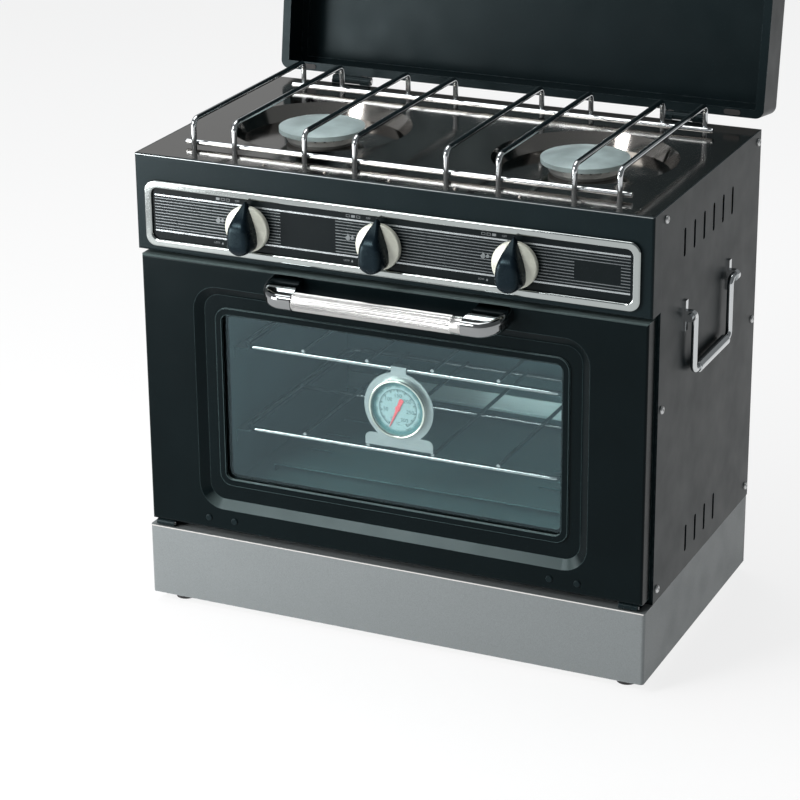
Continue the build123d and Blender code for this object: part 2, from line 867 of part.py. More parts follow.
# Door skin: a pressed pan with a recessed panel, a rolled bead and the window opening
door_z = (door_bottom + door_top) / 2
window_width = bead_width - 2 * bead_bar
window_height = bead_height - 2 * bead_bar
with BuildPart() as door_skin:
    with BuildSketch(front(0)):
        with Locations((0, door_z)):
            Rectangle(door_width, door_height)
    extrude(amount=-door_thickness)
    fillet(door_skin.faces().sort_by(Axis.Y)[0].edges(), radius=front_edge_radius)
    with BuildSketch(front(sheet)):
        with Locations((0, door_z)):
            Rectangle(door_width - 2 * sheet, door_height - 2 * sheet)
    extrude(amount=-door_thickness, mode=Mode.SUBTRACT)
    for start, how in ((sheet, Mode.ADD), (0, Mode.SUBTRACT)):
        for depth, loss in ((start, 0), (start + emboss_depth, 2 * emboss_ramp)):
            with BuildSketch(front(depth)):
                with Locations((0, emboss_centre)):
                    RectangleRounded(emboss_width - loss, emboss_height - loss, emboss_radius - loss / 2)
        loft(ruled=True, mode=how)
    with BuildSketch(front(emboss_depth)):
        with Locations((0, bead_centre)):
            RectangleRounded(bead_width, bead_height, bead_radius)
    extrude(amount=bead_rise)
    bead_face = door_skin.faces().filter_by(Axis.Y).sort_by(Axis.Y)[1]
    fillet(bead_face.edges(), radius=bead_rise - 0.4)
    with BuildSketch(front(0)):
        with Locations((0, bead_centre)):
            RectangleRounded(window_width, window_height, bead_radius - bead_bar + 1)
    extrude(amount=-door_thickness, mode=Mode.SUBTRACT)
save(door_skin, "door_skin")

# Window seal and glass behind the recessed panel
seal_front = emboss_depth + sheet
glass_front = seal_front + seal_thickness
with BuildPart() as window_seal:
    with BuildSketch(front(seal_front)):
        with Locations((0, bead_centre)):
            RectangleRounded(window_width + 2 * glass_lap, window_height + 2 * glass_lap, 6)
            RectangleRounded(window_width + 2, window_height + 2, 6, mode=Mode.SUBTRACT)
    extrude(amount=-seal_thickness)
save(window_seal, "window_seal")

with BuildPart() as window_glass:
    with BuildSketch(front(glass_front)):
        with Locations((0, bead_centre)):
            RectangleRounded(window_width + 2 * glass_lap, window_height + 2 * glass_lap, 6)
    extrude(amount=-glass_thickness)
save(window_glass, "window_glass")

# Door liner: the inner panel, with a folded tunnel that clamps the glass
tunnel_front = glass_front + glass_thickness
with BuildPart() as door_liner:
    with BuildSketch(front(door_thickness)):
        with Locations((0, door_z)):
            Rectangle(door_width - 2 * sheet, door_height - 2 * sheet)
    extrude(amount=sheet)
    with BuildSketch(front(door_thickness)):
        with Locations((0, bead_centre)):
            RectangleRounded(window_width + 2 * tunnel_bar, window_height + 2 * tunnel_bar, 6)
    extrude(amount=door_thickness - tunnel_front)
    with BuildSketch(front(door_thickness)):
        with Locations((0, bead_centre)):
            RectangleRounded(window_width, window_height, 5)
    extrude(amount=door_thickness - tunnel_front, mode=Mode.SUBTRACT)
save(door_liner, "door_liner")

# Handle bar: a ribbed half round with plain ends
with BuildPart() as handle_bar:
    bar_back = -(bar_reach - bar_depth / 2)
    with BuildSketch(side(handle_x - bar_half)):
        with BuildLine():
            bar_low = (depth_y(bar_back), bar_z - bar_height / 2)
            bar_high = (depth_y(bar_back), bar_z + bar_height / 2)
            ThreePointArc(bar_low, (depth_y(-bar_front), bar_z), bar_high)
            Line(bar_high, bar_low)
        make_face()
    extrude(amount=2 * bar_half)
    arc_radius = (bar_depth**2 + (bar_height / 2) ** 2) / (2 * bar_depth)
    arc_centre = (depth_y(-bar_front + arc_radius), bar_z)
    with BuildSketch(side(handle_x - bar_half + bar_ferrule)):
        with Locations(arc_centre):
            with PolarLocations(arc_radius, bar_ribs, start_angle=126, angular_range=108):
                Circle(0.35)
    extrude(amount=2 * (bar_half - bar_ferrule), mode=Mode.SUBTRACT)
save(handle_bar, "handle_bar")

# Handle ends: cast elbows that carry the bar, each a broad web that drops to the front
elbow_front = math.hypot(bar_reach, elbow_drop) + elbow_reach - 0.4
elbow_back = math.hypot(bar_reach, elbow_drop) - bar_depth / 2
with BuildPart() as handle_ends:
    for hand in (-1, 1):
        elbow_plane = Plane(
            origin=(handle_x, depth_y(0), handle_foot_z),
            x_dir=(hand, 0, 0),
            z_dir=(0, hand * elbow_drop, -hand * bar_reach),
        )
        with BuildPart(mode=Mode.PRIVATE) as elbow:
            with BuildSketch(elbow_plane):
                with BuildLine():
                    Polyline(
                        (bar_half + elbow_flat, elbow_front),
                        (bar_half, elbow_front),
                        (bar_half, elbow_back),
                        (bar_half + elbow_inset, elbow_root),
                        (bar_half + elbow_inset, -elbow_root),
                        (bar_half + elbow_bulge, -elbow_root),
                        (bar_half + elbow_bulge, elbow_root),
                    )
                    EllipticalCenterArc(
                        (bar_half + elbow_flat, elbow_root),
                        elbow_bulge - elbow_flat,
                        elbow_front - elbow_root,
                        arc_size=90,
                    )
                make_face()
            extrude(amount=elbow_height / 2, both=True)
            outer = [
                edge
                for face in elbow.faces()
                if abs(abs(face.normal_at().dot(elbow_plane.z_dir)) - 1) < 0.001
                for edge in face.edges()
                if elbow_plane.to_local_coords(edge.center()).X > bar_half + elbow_inset + 0.1
                and elbow_plane.to_local_coords(edge.center()).Y > -elbow_root / 2
            ]
            fillet(outer, radius=elbow_edge)
        add(elbow.part)
    with BuildSketch(front(0)):
        with Locations((handle_x, handle_foot_z)):
            Rectangle(4 * bar_half, 2 * elbow_height + 10)
    extrude(amount=-20, mode=Mode.SUBTRACT)
save(handle_ends, "handle_ends")

# Door fasteners: four screws low on the front and two inside that hold the handle
screw_z = door_bottom + screw_rise
screw_far = door_width / 2 - screw_inset
with BuildPart() as door_fasteners:
    with BuildSketch(front(0)):
        for screw_x in (screw_far, screw_far - screw_pitch):
            with Locations((-screw_x, screw_z), (screw_x, screw_z)):
                Circle(3.2)
    extrude(amount=1.3)
    fillet(door_fasteners.faces().sort_by(Axis.Y)[:4].edges(), radius=0.9)
    with BuildSketch(front(sheet)):
        for hand in (-1, 1):
            with Locations((handle_x + hand * handle_foot_x, handle_foot_z)):
                Circle(4.5)
    extrude(amount=-3)
save(door_fasteners, "door_fasteners")

# Door hinges: leaves on the plinth and on the door, each with its knuckles
door_axis_z = plinth_top + door_axis_rise
door_axis_y = depth_y(door_axis_depth)
hinge_centres = [hand * door_hinge_x for hand in (-1, 1)]
with BuildPart() as door_hinge_bases:
    for x in hinge_centres:
        for start in (x - 9, x + 4):
            with BuildSketch(side(start)):
                with Locations((door_axis_y, door_axis_z)):
                    Circle(door_knuckle)
                with Locations((depth_y(door_axis_depth + 2.5), plinth_top + sheet / 2)):
                    Rectangle(5, sheet)
            extrude(amount=5)
        with BuildSketch(level(plinth_top)):
            with Locations((x, depth_y((door_axis_depth + 4 + door_seat) / 2))):
                Rectangle(18, door_seat - door_axis_depth - 4)
        extrude(amount=sheet)
        with BuildSketch(side(x - 9)):
            with Locations((door_axis_y, door_axis_z)):
                Circle(door_pin + pin_clearance)
        extrude(amount=18, mode=Mode.SUBTRACT)
save(door_hinge_bases, "door_hinge_bases")

with BuildPart() as door_hinge_leaves:
    for x in hinge_centres:
        with BuildSketch(side(x - 3.7)):
            with Locations((door_axis_y, door_axis_z)):
                Circle(door_knuckle)
            with Locations((depth_y(door_axis_depth + 7), door_bottom - sheet / 2)):
                Rectangle(14, sheet)
        extrude(amount=7.4)
        with BuildSketch(side(x - 3.7)):
            with Locations((door_axis_y, door_axis_z)):
                Circle(door_pin + pin_clearance)
        extrude(amount=7.4, mode=Mode.SUBTRACT)
save(door_hinge_leaves, "door_hinge_leaves")

# Lid, built in its own frame: y runs from the hinge to the front edge, z out of the lid
lid_angle = math.radians(lid_open_angle)
lid_axis_y = depth_y(lid_reach)
lid_axis_z = hob_height + hinge_rise
lid_normal = (0, math.sin(lid_angle), math.cos(lid_angle))
lid_frame = Plane(origin=(0, lid_axis_y, lid_axis_z), x_dir=(-1, 0, 0), z_dir=lid_normal)
lid_floor = lid_rim_gap - hinge_rise
lid_mid = (hinge_back + lid_reach) / 2
with BuildPart() as lid_shell:
    with BuildSketch(lid_frame.offset(lid_floor)):
        with Locations((0, lid_mid)):
            RectangleRounded(body_width, body_depth, lid_edge_radius)
    extrude(amount=lid_height)
    lid_top = lid_shell.faces().sort_by(Axis((0, 0, 0), lid_normal))[-1]
    fillet(lid_top.edges(), radius=lid_edge_radius - 1)
    with BuildSketch(lid_frame.offset(lid_floor + sheet)):
        with Locations((0, lid_mid)):
            RectangleRounded(body_width - 2 * sheet, body_depth - 2 * sheet, lid_edge_radius - sheet)
    extrude(amount=lid_height - 2 * sheet - 2, mode=Mode.SUBTRACT)
    with BuildSketch(lid_frame.offset(lid_floor)):
        with Locations((0, lid_mid)):
            Rectangle(body_width - 2 * lid_flange, body_depth - 2 * lid_flange)
    extrude(amount=lid_height - sheet, mode=Mode.SUBTRACT)
save(lid_shell, "lid_shell")

with BuildPart() as lid_bumpers:
    with BuildSketch(lid_frame.offset(lid_floor)):
        with Locations((0, lid_mid)):
            with GridLocations(body_width - 60, body_depth - lid_flange, 2, 2):
                SlotOverall(16, 5)
    extrude(amount=-(lid_rim_gap - 0.3))
save(lid_bumpers, "lid_bumpers")

lid_hinge_centres = [hand * lid_hinge_x for hand in (-1, 1)]
with BuildPart() as lid_hinge_bases:
    for x in lid_hinge_centres:
        with BuildSketch(front(body_depth)):
            with Locations((x, hob_height - 20)):
                Rectangle(40, 36)
        extrude(amount=-sheet)
        for start in (x - 20, x + 10):
            with BuildSketch(side(start)):
                with Locations((lid_axis_y, lid_axis_z)):
                    Circle(lid_knuckle)
                with Locations((depth_y(body_depth + sheet), lid_axis_z - 5)):
                    Rectangle(2 * sheet, 10)
            extrude(amount=10)
        with BuildSketch(side(x - 20)):
            with Locations((lid_axis_y, lid_axis_z)):
                Circle(lid_pin + pin_clearance)
        extrude(amount=40, mode=Mode.SUBTRACT)
save(lid_hinge_bases, "lid_hinge_bases")

leaf_near = hinge_back - sheet
with BuildPart() as lid_hinge_leaves:
    for x in lid_hinge_centres:
        with BuildSketch(lid_frame.offset(2)):
            with Locations((x, leaf_near + sheet / 2)):
                Rectangle(40, sheet)
        extrude(amount=30)
        with BuildSketch(lid_frame.offset(-1)):
            with Locations((x, leaf_near + sheet / 2)):
                Rectangle(19.4, sheet)
        extrude(amount=4)
        with BuildSketch(side(x - 9.7)):
            with Locations((lid_axis_y, lid_axis_z)):
                Circle(lid_knuckle)
        extrude(amount=19.4)
        with BuildSketch(side(x - 9.7)):
            with Locations((lid_axis_y, lid_axis_z)):
                Circle(lid_pin + pin_clearance)
        extrude(amount=19.4, mode=Mode.SUBTRACT)
save(lid_hinge_leaves, "lid_hinge_leaves")

# Hinge pins: two for the door and two for the lid
with BuildPart() as hinge_pins:
    for x in hinge_centres:
        with BuildSketch(side(x - 9.5)):
            with Locations((door_axis_y, door_axis_z)):
                Circle(door_pin)
        extrude(amount=19)
    for x in lid_hinge_centres:
        with BuildSketch(side(x - 21)):
            with Locations((lid_axis_y, lid_axis_z)):
                Circle(lid_pin)
        extrude(amount=42)
save(hinge_pins, "hinge_pins")

# Carry handles: a bail with a sleeve on each side, in two ears
carry_axis_x = body_width / 2 + carry_x
ear_start = carry_half - ear_thickness / 2
with BuildPart() as carry_ears:
    for hand in (-1, 1):
        for ear in (-1, 1):
            ear_depth = burner_depth + ear * carry_half + ear_thickness / 2
            with BuildSketch(front(ear_depth)):
                with Locations((hand * (body_width / 2 + 1), carry_z)):
                    Rectangle(2, 28)
                with Locations((hand * (body_width + carry_x) / 2, carry_z)):
                    Rectangle(carry_x, 10)
                with Locations((hand * carry_axis_x, carry_z)):
                    Circle(5)
                    Circle(carry_rod + pin_clearance, mode=Mode.SUBTRACT)
            extrude(amount=ear_thickness)
save(carry_ears, "carry_ears")

for hand, name in ((-1, "carry_handle_left"), (1, "carry_handle_right")):
    x = hand * carry_axis_x
    with BuildPart() as carry_handle:
        near = burner_depth - carry_half
        far = burner_depth + carry_half
        tip = ear_thickness / 2 + 3
        leg = ear_thickness / 2 + 8
        with BuildLine() as bail_path:
            FilletPolyline(
                (x, depth_y(near - tip), carry_z),
                (x, depth_y(near + leg), carry_z),
                (x, depth_y(near + leg), carry_z - carry_drop),
                (x, depth_y(far - leg), carry_z - carry_drop),
                (x, depth_y(far - leg), carry_z),
                (x, depth_y(far + tip), carry_z),
                radius=6,
            )
        with BuildSketch(front(near - tip)):
            with Locations((x, carry_z)):
                Circle(carry_rod)
        sweep(path=bail_path.wires()[0])
        with BuildSketch(front(near + leg + 10)):
            with Locations((x, carry_z - carry_drop)):
                Circle(carry_sleeve)
        extrude(amount=-(2 * carry_half - 2 * leg - 20))
        fillet(carry_handle.edges().filter_by(GeomType.CIRCLE).filter_by(lambda e: abs(e.radius - carry_sleeve) < 0.01), radius=1.2)
    save(carry_handle, name)

# Grate: eight bent wires welded to a front and a rear rod
with BuildPart() as grate:
    leg_far = 2 * burner_depth - grate_leg_depth
    wire_top = hob_height + grate_rise
    for x in [hand * wire_x for wire_x in grate_wires_x for hand in (-1, 1)]:
        with BuildLine() as wire_path:
            FilletPolyline(
                (x, depth_y(grate_leg_depth), hob_height),
                (x, depth_y(grate_leg_depth), wire_top),
                (x, depth_y(leg_far), wire_top),
                (x, depth_y(leg_far), hob_height),
                radius=grate_bend,
            )
        with BuildSketch(level(hob_height)):
            with Locations((x, depth_y(grate_leg_depth))):
                Circle(grate_wire)
        sweep(path=wire_path.wires()[0])
    rod_offset = 2 * grate_wire - 0.3
    with BuildSketch(side(-grate_rod_half)):
        with Locations(
            (depth_y(grate_leg_depth + rod_offset), hob_height + grate_rod_rise),
            (depth_y(leg_far - rod_offset), hob_height + grate_rod_rise),
        ):
            Circle(grate_wire)
    extrude(amount=2 * grate_rod_half)
save(grate, "grate")

# Knobs: a domed disc, a teardrop grip over it, and the stem that carries them
for x, word in zip(knob_xs, ("left", "middle", "right")):
    knob_origin = (x, depth_y(0), knob_height)
    knob_axis = Axis(knob_origin, (0, 1, 0))
    disc_front = knob_back_gap + knob_edge + knob_dome
    with BuildPart() as knob_disc:
        with BuildSketch(Plane(origin=knob_origin, x_dir=(1, 0, 0), z_dir=(0, 0, 1))):
            with BuildLine():
                Polyline(
                    (stem_radius + stem_clearance, -disc_front),
                    (stem_radius + stem_clearance, -knob_back_gap),
                    (knob_radius - 0.6, -knob_back_gap),
                    (knob_radius, -knob_back_gap - 0.6),
                    (knob_radius, -knob_back_gap - knob_edge),
                )
                ThreePointArc(
                    (knob_radius, -knob_back_gap - knob_edge),
                    (knob_radius * 0.68, -disc_front + 0.44 * knob_dome),
                    (stem_radius + stem_clearance, -disc_front),
                )
            make_face()
        revolve(axis=knob_axis)
        rims = knob_disc.edges().filter_by(GeomType.CIRCLE)
        fillet(rims.filter_by(lambda e: abs(e.radius - knob_radius) < 0.01).sort_by(Axis.Y)[0], knob_rim_radius)
    save(knob_disc, f"knob_disc_{word}")

    with BuildPart() as knob_grip:
        grip_origin = (x, depth_y(-grip_back), knob_height)
        with BuildSketch(Plane(origin=grip_origin, x_dir=(1, 0, 0), z_dir=(0, -1, 0))):
            with BuildLine():
                ThreePointArc((0, grip_tip), (7.6, 9), (grip_half_width, -5))
                ThreePointArc((grip_half_width, -5), (7.6, -17), (0, -grip_tail))
                mirror(about=Plane.YZ)
            make_face()
        extrude(amount=grip_front - grip_back, taper=6)
        with BuildSketch(side(x - 15)):
            with BuildLine():
                Polyline(
                    (depth_y(-grip_tip_front), knob_height + grip_tip + 1),
                    (depth_y(-grip_front), knob_height + grip_shoulder),
                    (depth_y(-grip_front - 5), knob_height + grip_shoulder),
                    (depth_y(-grip_front - 5), knob_height + grip_tip + 1),
                    close=True,
                )
            make_face()
        extrude(amount=30, mode=Mode.SUBTRACT)
        fillet(knob_grip.faces().sort_by(Axis.Y)[0].edges(), radius=1.2)
        add(knob_disc.part, mode=Mode.SUBTRACT)
        with BuildSketch(front(0)):
            with Locations((x, knob_height)):
                Circle(stem_radius + stem_clearance)
        extrude(amount=stem_front + 0.3, mode=Mode.SUBTRACT)
    save(knob_grip, f"knob_grip_{word}")

    with BuildPart() as stem:
        with BuildSketch(front(stem_back)):
            with Locations((x, knob_height)):
                Circle(stem_radius)
        extrude(amount=stem_back + stem_front)
    save(stem, f"stem_{word}")
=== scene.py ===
import json
import math

import bmesh
import bpy
from mathutils import Matrix, Vector


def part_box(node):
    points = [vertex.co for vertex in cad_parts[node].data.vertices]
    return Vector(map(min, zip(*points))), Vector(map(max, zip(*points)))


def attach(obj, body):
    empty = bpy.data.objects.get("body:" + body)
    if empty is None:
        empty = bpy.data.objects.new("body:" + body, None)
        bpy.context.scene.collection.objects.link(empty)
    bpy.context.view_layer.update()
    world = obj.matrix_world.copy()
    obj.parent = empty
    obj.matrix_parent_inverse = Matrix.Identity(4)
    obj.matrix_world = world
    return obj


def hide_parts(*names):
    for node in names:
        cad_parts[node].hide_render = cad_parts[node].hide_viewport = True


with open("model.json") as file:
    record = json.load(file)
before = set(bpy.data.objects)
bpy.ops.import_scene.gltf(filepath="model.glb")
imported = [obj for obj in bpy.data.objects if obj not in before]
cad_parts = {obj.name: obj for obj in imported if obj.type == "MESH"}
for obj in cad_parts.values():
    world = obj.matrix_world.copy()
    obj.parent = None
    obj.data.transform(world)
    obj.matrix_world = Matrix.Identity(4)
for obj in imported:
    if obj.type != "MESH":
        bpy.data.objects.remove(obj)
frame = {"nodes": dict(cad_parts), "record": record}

# A small gas stove with an oven, on a pale studio floor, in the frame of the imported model.
# Shapes are given in millimetres and degrees, lamps, floor and camera in metres and degrees.
# Depths are counted backwards from the front face of the door, as in the part's source.

for leftover in ("Cube", "Light", "Camera"):
    if leftover in bpy.data.objects:
        bpy.data.objects.remove(bpy.data.objects[leftover])

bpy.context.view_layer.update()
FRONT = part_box("door_skin")[0][1]
MM = 0.001


def mm(metres):
    """Metres turned into millimetres."""
    return metres * 1000


def spot(x, depth, z):
    """A point, from millimetres across, behind the front face and above the floor."""
    return Vector((x * MM, FRONT + depth * MM, z * MM))


def depth_of(y):
    """How far a place lies behind the front face, in millimetres."""
    return mm(y - FRONT)


def face_centre(name):
    """The middle of a node's box as seen from the front, as (x, z) in millimetres."""
    low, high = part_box(name)
    return mm(low[0] + high[0]) / 2, mm(low[2] + high[2]) / 2


# ---------------------------------------------------------------- node helpers


def feed(tree, socket, value):
    """Links an output to an input, or sets the input itself. A colour is three numbers."""
    if isinstance(value, bpy.types.NodeSocket):
        tree.links.new(value, socket)
    elif socket.type == "RGBA":
        socket.default_value = (*value, 1.0)
    else:
        socket.default_value = value


def node(tree, kind, inputs=None, **settings):
    """Adds one node, sets its options, and feeds its inputs."""
    made = tree.nodes.new(kind)
    for key, value in settings.items():
        setattr(made, key, value)
    for socket, value in (inputs or {}).items():
        feed(tree, made.inputs[socket], value)
    return made


def calc(tree, operation, first, second=0.0, clamp=False):
    """One Math node's result."""
    made = node(
        tree, "ShaderNodeMath", {0: first, 1: second}, operation=operation, use_clamp=clamp
    )
    return made.outputs[0]


def blend_colour(tree, share, first, second):
    """A mix of two colours by a share from 0 to 1."""
    inputs = {0: share, 6: first, 7: second}
    return node(tree, "ShaderNodeMix", inputs, data_type="RGBA").outputs[2]


def spread(tree, value, low, high, to_low=0.0, to_high=1.0):
    """A value carried from one range to another, clamped."""
    inputs = {0: value, 1: low, 2: high, 3: to_low, 4: to_high}
    return node(tree, "ShaderNodeMapRange", inputs, clamp=True).outputs[0]


def scaled(tree, vector, factor):
    """A vector or a colour times one number."""
    inputs = {0: vector, "Scale": factor}
    return node(tree, "ShaderNodeVectorMath", inputs, operation="SCALE").outputs[0]


def noise(tree, place, scale, detail):
    """The grey value of a cloudy texture."""
    inputs = {"Vector": place, "Scale": scale, "Detail": detail}
    return node(tree, "ShaderNodeTexNoise", inputs).outputs[0]


def relief(tree, strength, distance, height):
    """A normal bumped by a height, over a distance in millimetres."""
    inputs = {"Strength": strength, "Distance": distance * MM, "Height": height}
    return node(tree, "ShaderNodeBump", inputs).outputs[0]


def millimetres(tree):
    """The object's own coordinates, in millimetres."""
    return scaled(tree, node(tree, "ShaderNodeTexCoord").outputs["Object"], 1000.0)


def axes(tree, vector):
    """The three numbers of a vector, as outputs."""
    return node(tree, "ShaderNodeSeparateXYZ", {0: vector}).outputs


def effect(name, outputs, **inputs):
    """An empty shader node group; three numbers are a colour where the label says so."""
    tree = bpy.data.node_groups.new(name, "ShaderNodeTree")
    for key, value in inputs.items():
        label = key.replace("_", " ")
        kind = "Vector" if isinstance(value, tuple) else "Float"
        if label.endswith("Colour"):
            kind, value = "Color", (*value, 1.0)
        socket = tree.interface.new_socket(label, in_out="INPUT", socket_type="NodeSocket" + kind)
        socket.default_value = value
    for label, kind in outputs.items():
        tree.interface.new_socket(label, in_out="OUTPUT", socket_type="NodeSocket" + kind)
    start = tree.nodes.new("NodeGroupInput")
    end = tree.nodes.new("NodeGroupOutput")
    return tree, start.outputs, end.inputs


# ------------------------------------------------------- effects shared by finishes

SKIN_OUTPUTS = {"Colour": "Color", "Roughness": "Float", "Normal": "Vector"}


def vary_tone(tree, colour, swing, share):
    """A colour made lighter and darker by a share of a value that swings from -1 to 1."""
    tone = calc(tree, "ADD", 1.0, calc(tree, "MULTIPLY", swing, share))
    return scaled(tree, colour, tone)


def vary_roughness(tree, given, out, swing, share):
    """Puts out the given roughness with a share of a changing value added."""
    change = calc(tree, "MULTIPLY", swing, share)
    rough = calc(tree, "ADD", given["Roughness"], change, clamp=True)
    tree.links.new(rough, out["Roughness"])


def make_enamel_skin():
    """Fired enamel: a soft ripple, fine specks and cloudy gloss."""
    tree, given, out = effect(
        "enamel skin", SKIN_OUTPUTS, Colour=(0.02, 0.02, 0.02), Speck_Colour=(0.2, 0.2, 0.2),
        Speck_Share=0.1, Ripple=0.1, Roughness=0.25, Roughness_Spread=0.06,
    )
    place = millimetres(tree)
    cell_inputs = {"Vector": place, "Scale": 0.8, "Randomness": 1.0}
    cells = node(tree, "ShaderNodeTexVoronoi", cell_inputs).outputs
    pick = node(tree, "ShaderNodeSeparateColor", {0: cells["Color"]}).outputs[0]
    chosen = calc(tree, "LESS_THAN", pick, given["Speck Share"])
    near = calc(tree, "LESS_THAN", cells["Distance"], 0.26)
    speck = calc(tree, "MULTIPLY", chosen, near)
    tone = spread(tree, noise(tree, place, 0.02, 3.0), 0.3, 0.7, 0.9, 1.1)
    toned = scaled(tree, given["Colour"], tone)
    tree.links.new(blend_colour(tree, speck, toned, given["Speck Colour"]), out["Colour"])
    smear = spread(tree, noise(tree, place, 0.035, 5.0), 0.3, 0.7, -1.0, 1.0)
    vary_roughness(tree, given, out, smear, given["Roughness Spread"])
    ripple = noise(tree, place, 0.3, 1.0)
    tree.links.new(relief(tree, given["Ripple"], 0.2, ripple), out["Normal"])
    return tree


def make_brushed_grain():
    """Brushed or rolled metal: lines drawn out along one direction, with a streaky tone."""
    tree, given, out = effect(
        "brushed grain", SKIN_OUTPUTS, Colour=(0.6, 0.6, 0.6), Stretch=(0.02, 3.0, 3.0),
        Line_Depth=0.1, Tone_Spread=0.08, Roughness=0.25, Roughness_Spread=0.08,
    )
    inputs = {0: millimetres(tree), 1: given["Stretch"]}
    drawn = node(tree, "ShaderNodeVectorMath", inputs, operation="MULTIPLY").outputs[0]
    lines = noise(tree, drawn, 1.0, 4.0)
    swing = spread(tree, lines, 0.25, 0.75, -1.0, 1.0)
    tree.links.new(vary_tone(tree, given["Colour"], swing, given["Tone Spread"]), out["Colour"])
    vary_roughness(tree, given, out, swing, given["Roughness Spread"])
    tree.links.new(relief(tree, given["Line Depth"], 0.05, lines), out["Normal"])
    return tree


def make_handling_marks():
    """Cloudy patches where hands and cloths have dulled a bright surface."""
    tree, given, out = effect(
        "handling marks", {"Roughness": "Float", "Mask": "Float"}, Roughness=0.1,
        Added_Roughness=0.12, Patch_Size=30.0,
    )
    scale = calc(tree, "DIVIDE", 1.0, given["Patch Size"])
    mask = spread(tree, noise(tree, millimetres(tree), scale, 6.0), 0.45, 0.75)
    tree.links.new(mask, out["Mask"])
    vary_roughness(tree, given, out, mask, given["Added Roughness"])
    return tree


def make_dust_and_sheen():
    """A thin pale layer on faces that look up, broken by noise or, at evenness 1, whole: settled
    dust, and on the door a painted sheen on its up-facing slopes.
    """
    tree, given, out = effect(
        "dust and painted sheen", {"Colour": "Color"}, Colour=(0.1, 0.1, 0.1),
        Dust_Colour=(0.45, 0.43, 0.4), Amount=0.1, Evenness=0.0,
    )
    facing = axes(tree, node(tree, "ShaderNodeNewGeometry").outputs["Normal"])
    upward = spread(tree, facing[2], 0.3, 1.0)
    grit = spread(tree, noise(tree, millimetres(tree), 0.12, 8.0), 0.35, 0.8)
    dust_and_sheen_film = calc(tree, "MULTIPLY", upward, calc(tree, "MAXIMUM", grit, given["Evenness"]))
    mask = calc(tree, "MULTIPLY", dust_and_sheen_film, given["Amount"])
    tree.links.new(blend_colour(tree, mask, given["Colour"], given["Dust Colour"]), out["Colour"])
    return tree


def make_metal_flake():
    """Silver paint: fine bright and dark flakes under the lacquer."""
    tree, given, out = effect(
        "metal flake", {"Colour": "Color", "Normal": "Vector"}, Colour=(0.4, 0.42, 0.44),
        Flake_Contrast=0.3, Flake_Scale=3.0, Tilt=0.1,
    )
    flake_inputs = {"Vector": millimetres(tree), "Scale": given["Flake Scale"]}
    flakes = node(tree, "ShaderNodeTexVoronoi", flake_inputs).outputs
    pick = node(tree, "ShaderNodeSeparateColor", {0: flakes["Color"]}).outputs[1]
    swing = spread(tree, pick, 0.0, 1.0, -1.0, 1.0)
    tree.links.new(vary_tone(tree, given["Colour"], swing, given["Flake Contrast"]), out["Colour"])
    tree.links.new(relief(tree, given["Tilt"], 0.05, pick), out["Normal"])
    return tree


def make_moulded_grain():
    """Moulded plastic or rubber: a fine even grain and slow gloss changes."""
    tree, given, out = effect(
        "moulded grain", SKIN_OUTPUTS, Colour=(0.03, 0.03, 0.03), Grain_Scale=4.0,
        Grain_Depth=0.08, Roughness=0.3, Roughness_Spread=0.05,
    )
    place = millimetres(tree)
    grain = noise(tree, place, given["Grain Scale"], 2.0)
    swing = spread(tree, noise(tree, place, 0.12, 3.0), 0.3, 0.7, -1.0, 1.0)
    tree.links.new(vary_tone(tree, given["Colour"], swing, 0.05), out["Colour"])
    vary_roughness(tree, given, out, swing, given["Roughness Spread"])
    tree.links.new(relief(tree, given["Grain Depth"], 0.05, grain), out["Normal"])
    return tree


def make_edge_wear_and_highlight():
    """A lighter colour along edges, found by rounding the normal: paint wear, and on the door and
    the plinth a painted edge highlight.
    """
    tree, given, out = effect(
        "edge wear and painted highlight", {"Colour": "Color"}, Colour=(0.1, 0.1, 0.1), Bare_Colour=(0.4, 0.4, 0.4),
        Amount=0.4, Evenness=0.0,
    )
    rounded = node(tree, "ShaderNodeBevel", {"Radius": 1.2 * MM}, samples=4).outputs[0]
    true = node(tree, "ShaderNodeNewGeometry").outputs["Normal"]
    both = {0: rounded, 1: true}
    alike = node(tree, "ShaderNodeVectorMath", both, operation="DOT_PRODUCT").outputs["Value"]
    edge = spread(tree, alike, 0.99, 0.8)
    chips = spread(tree, noise(tree, millimetres(tree), 0.25, 6.0), 0.45, 0.62)
    # At high evenness the chips no longer break the edge colour, and it becomes a painted
    # highlight line along every edge.
    rubbed_and_lit = calc(tree, "MULTIPLY", edge, calc(tree, "MAXIMUM", chips, given["Evenness"]))
    mask = calc(tree, "MULTIPLY", rubbed_and_lit, given["Amount"], clamp=True)
    tree.links.new(blend_colour(tree, mask, given["Colour"], given["Bare Colour"]), out["Colour"])
    return tree


ENAMEL_SKIN = make_enamel_skin()
BRUSHED_GRAIN = make_brushed_grain()
HANDLING_MARKS = make_handling_marks()
DUST_AND_SHEEN = make_dust_and_sheen()
METAL_FLAKE = make_metal_flake()
MOULDED_GRAIN = make_moulded_grain()
EDGE_WEAR_AND_HIGHLIGHT = make_edge_wear_and_highlight()


# ------------------------------------------------------------------- finishes


def finish(name, **settings):
    """A material with one Principled shader; its even values are set on the shader itself."""
    material = bpy.data.materials.new(name)
    material.use_nodes = True
    tree = material.node_tree
    tree.nodes.clear()
    skin = node(tree, "ShaderNodeBsdfPrincipled")
    for key, value in settings.items():
        feed(tree, skin.inputs[key.replace("_", " ")], value)
    node(tree, "ShaderNodeOutputMaterial", {0: skin.outputs[0]})
    return material, tree, skin


def put(tree, group, **values):
    """Places a shared effect in a material with its own values."""
    made = node(tree, "ShaderNodeGroup", node_tree=group)
    for label, value in values.items():
        feed(tree, made.inputs[label.replace("_", " ")], value)
    return made.outputs


def join(tree, skin, colour=None, roughness=None, normal=None):
    """Feeds what is given of a colour, a roughness and a normal to the shader."""
    for label, value in (("Base Color", colour), ("Roughness", roughness), ("Normal", normal)):
        if value is not None:
            tree.links.new(value, skin.inputs[label])


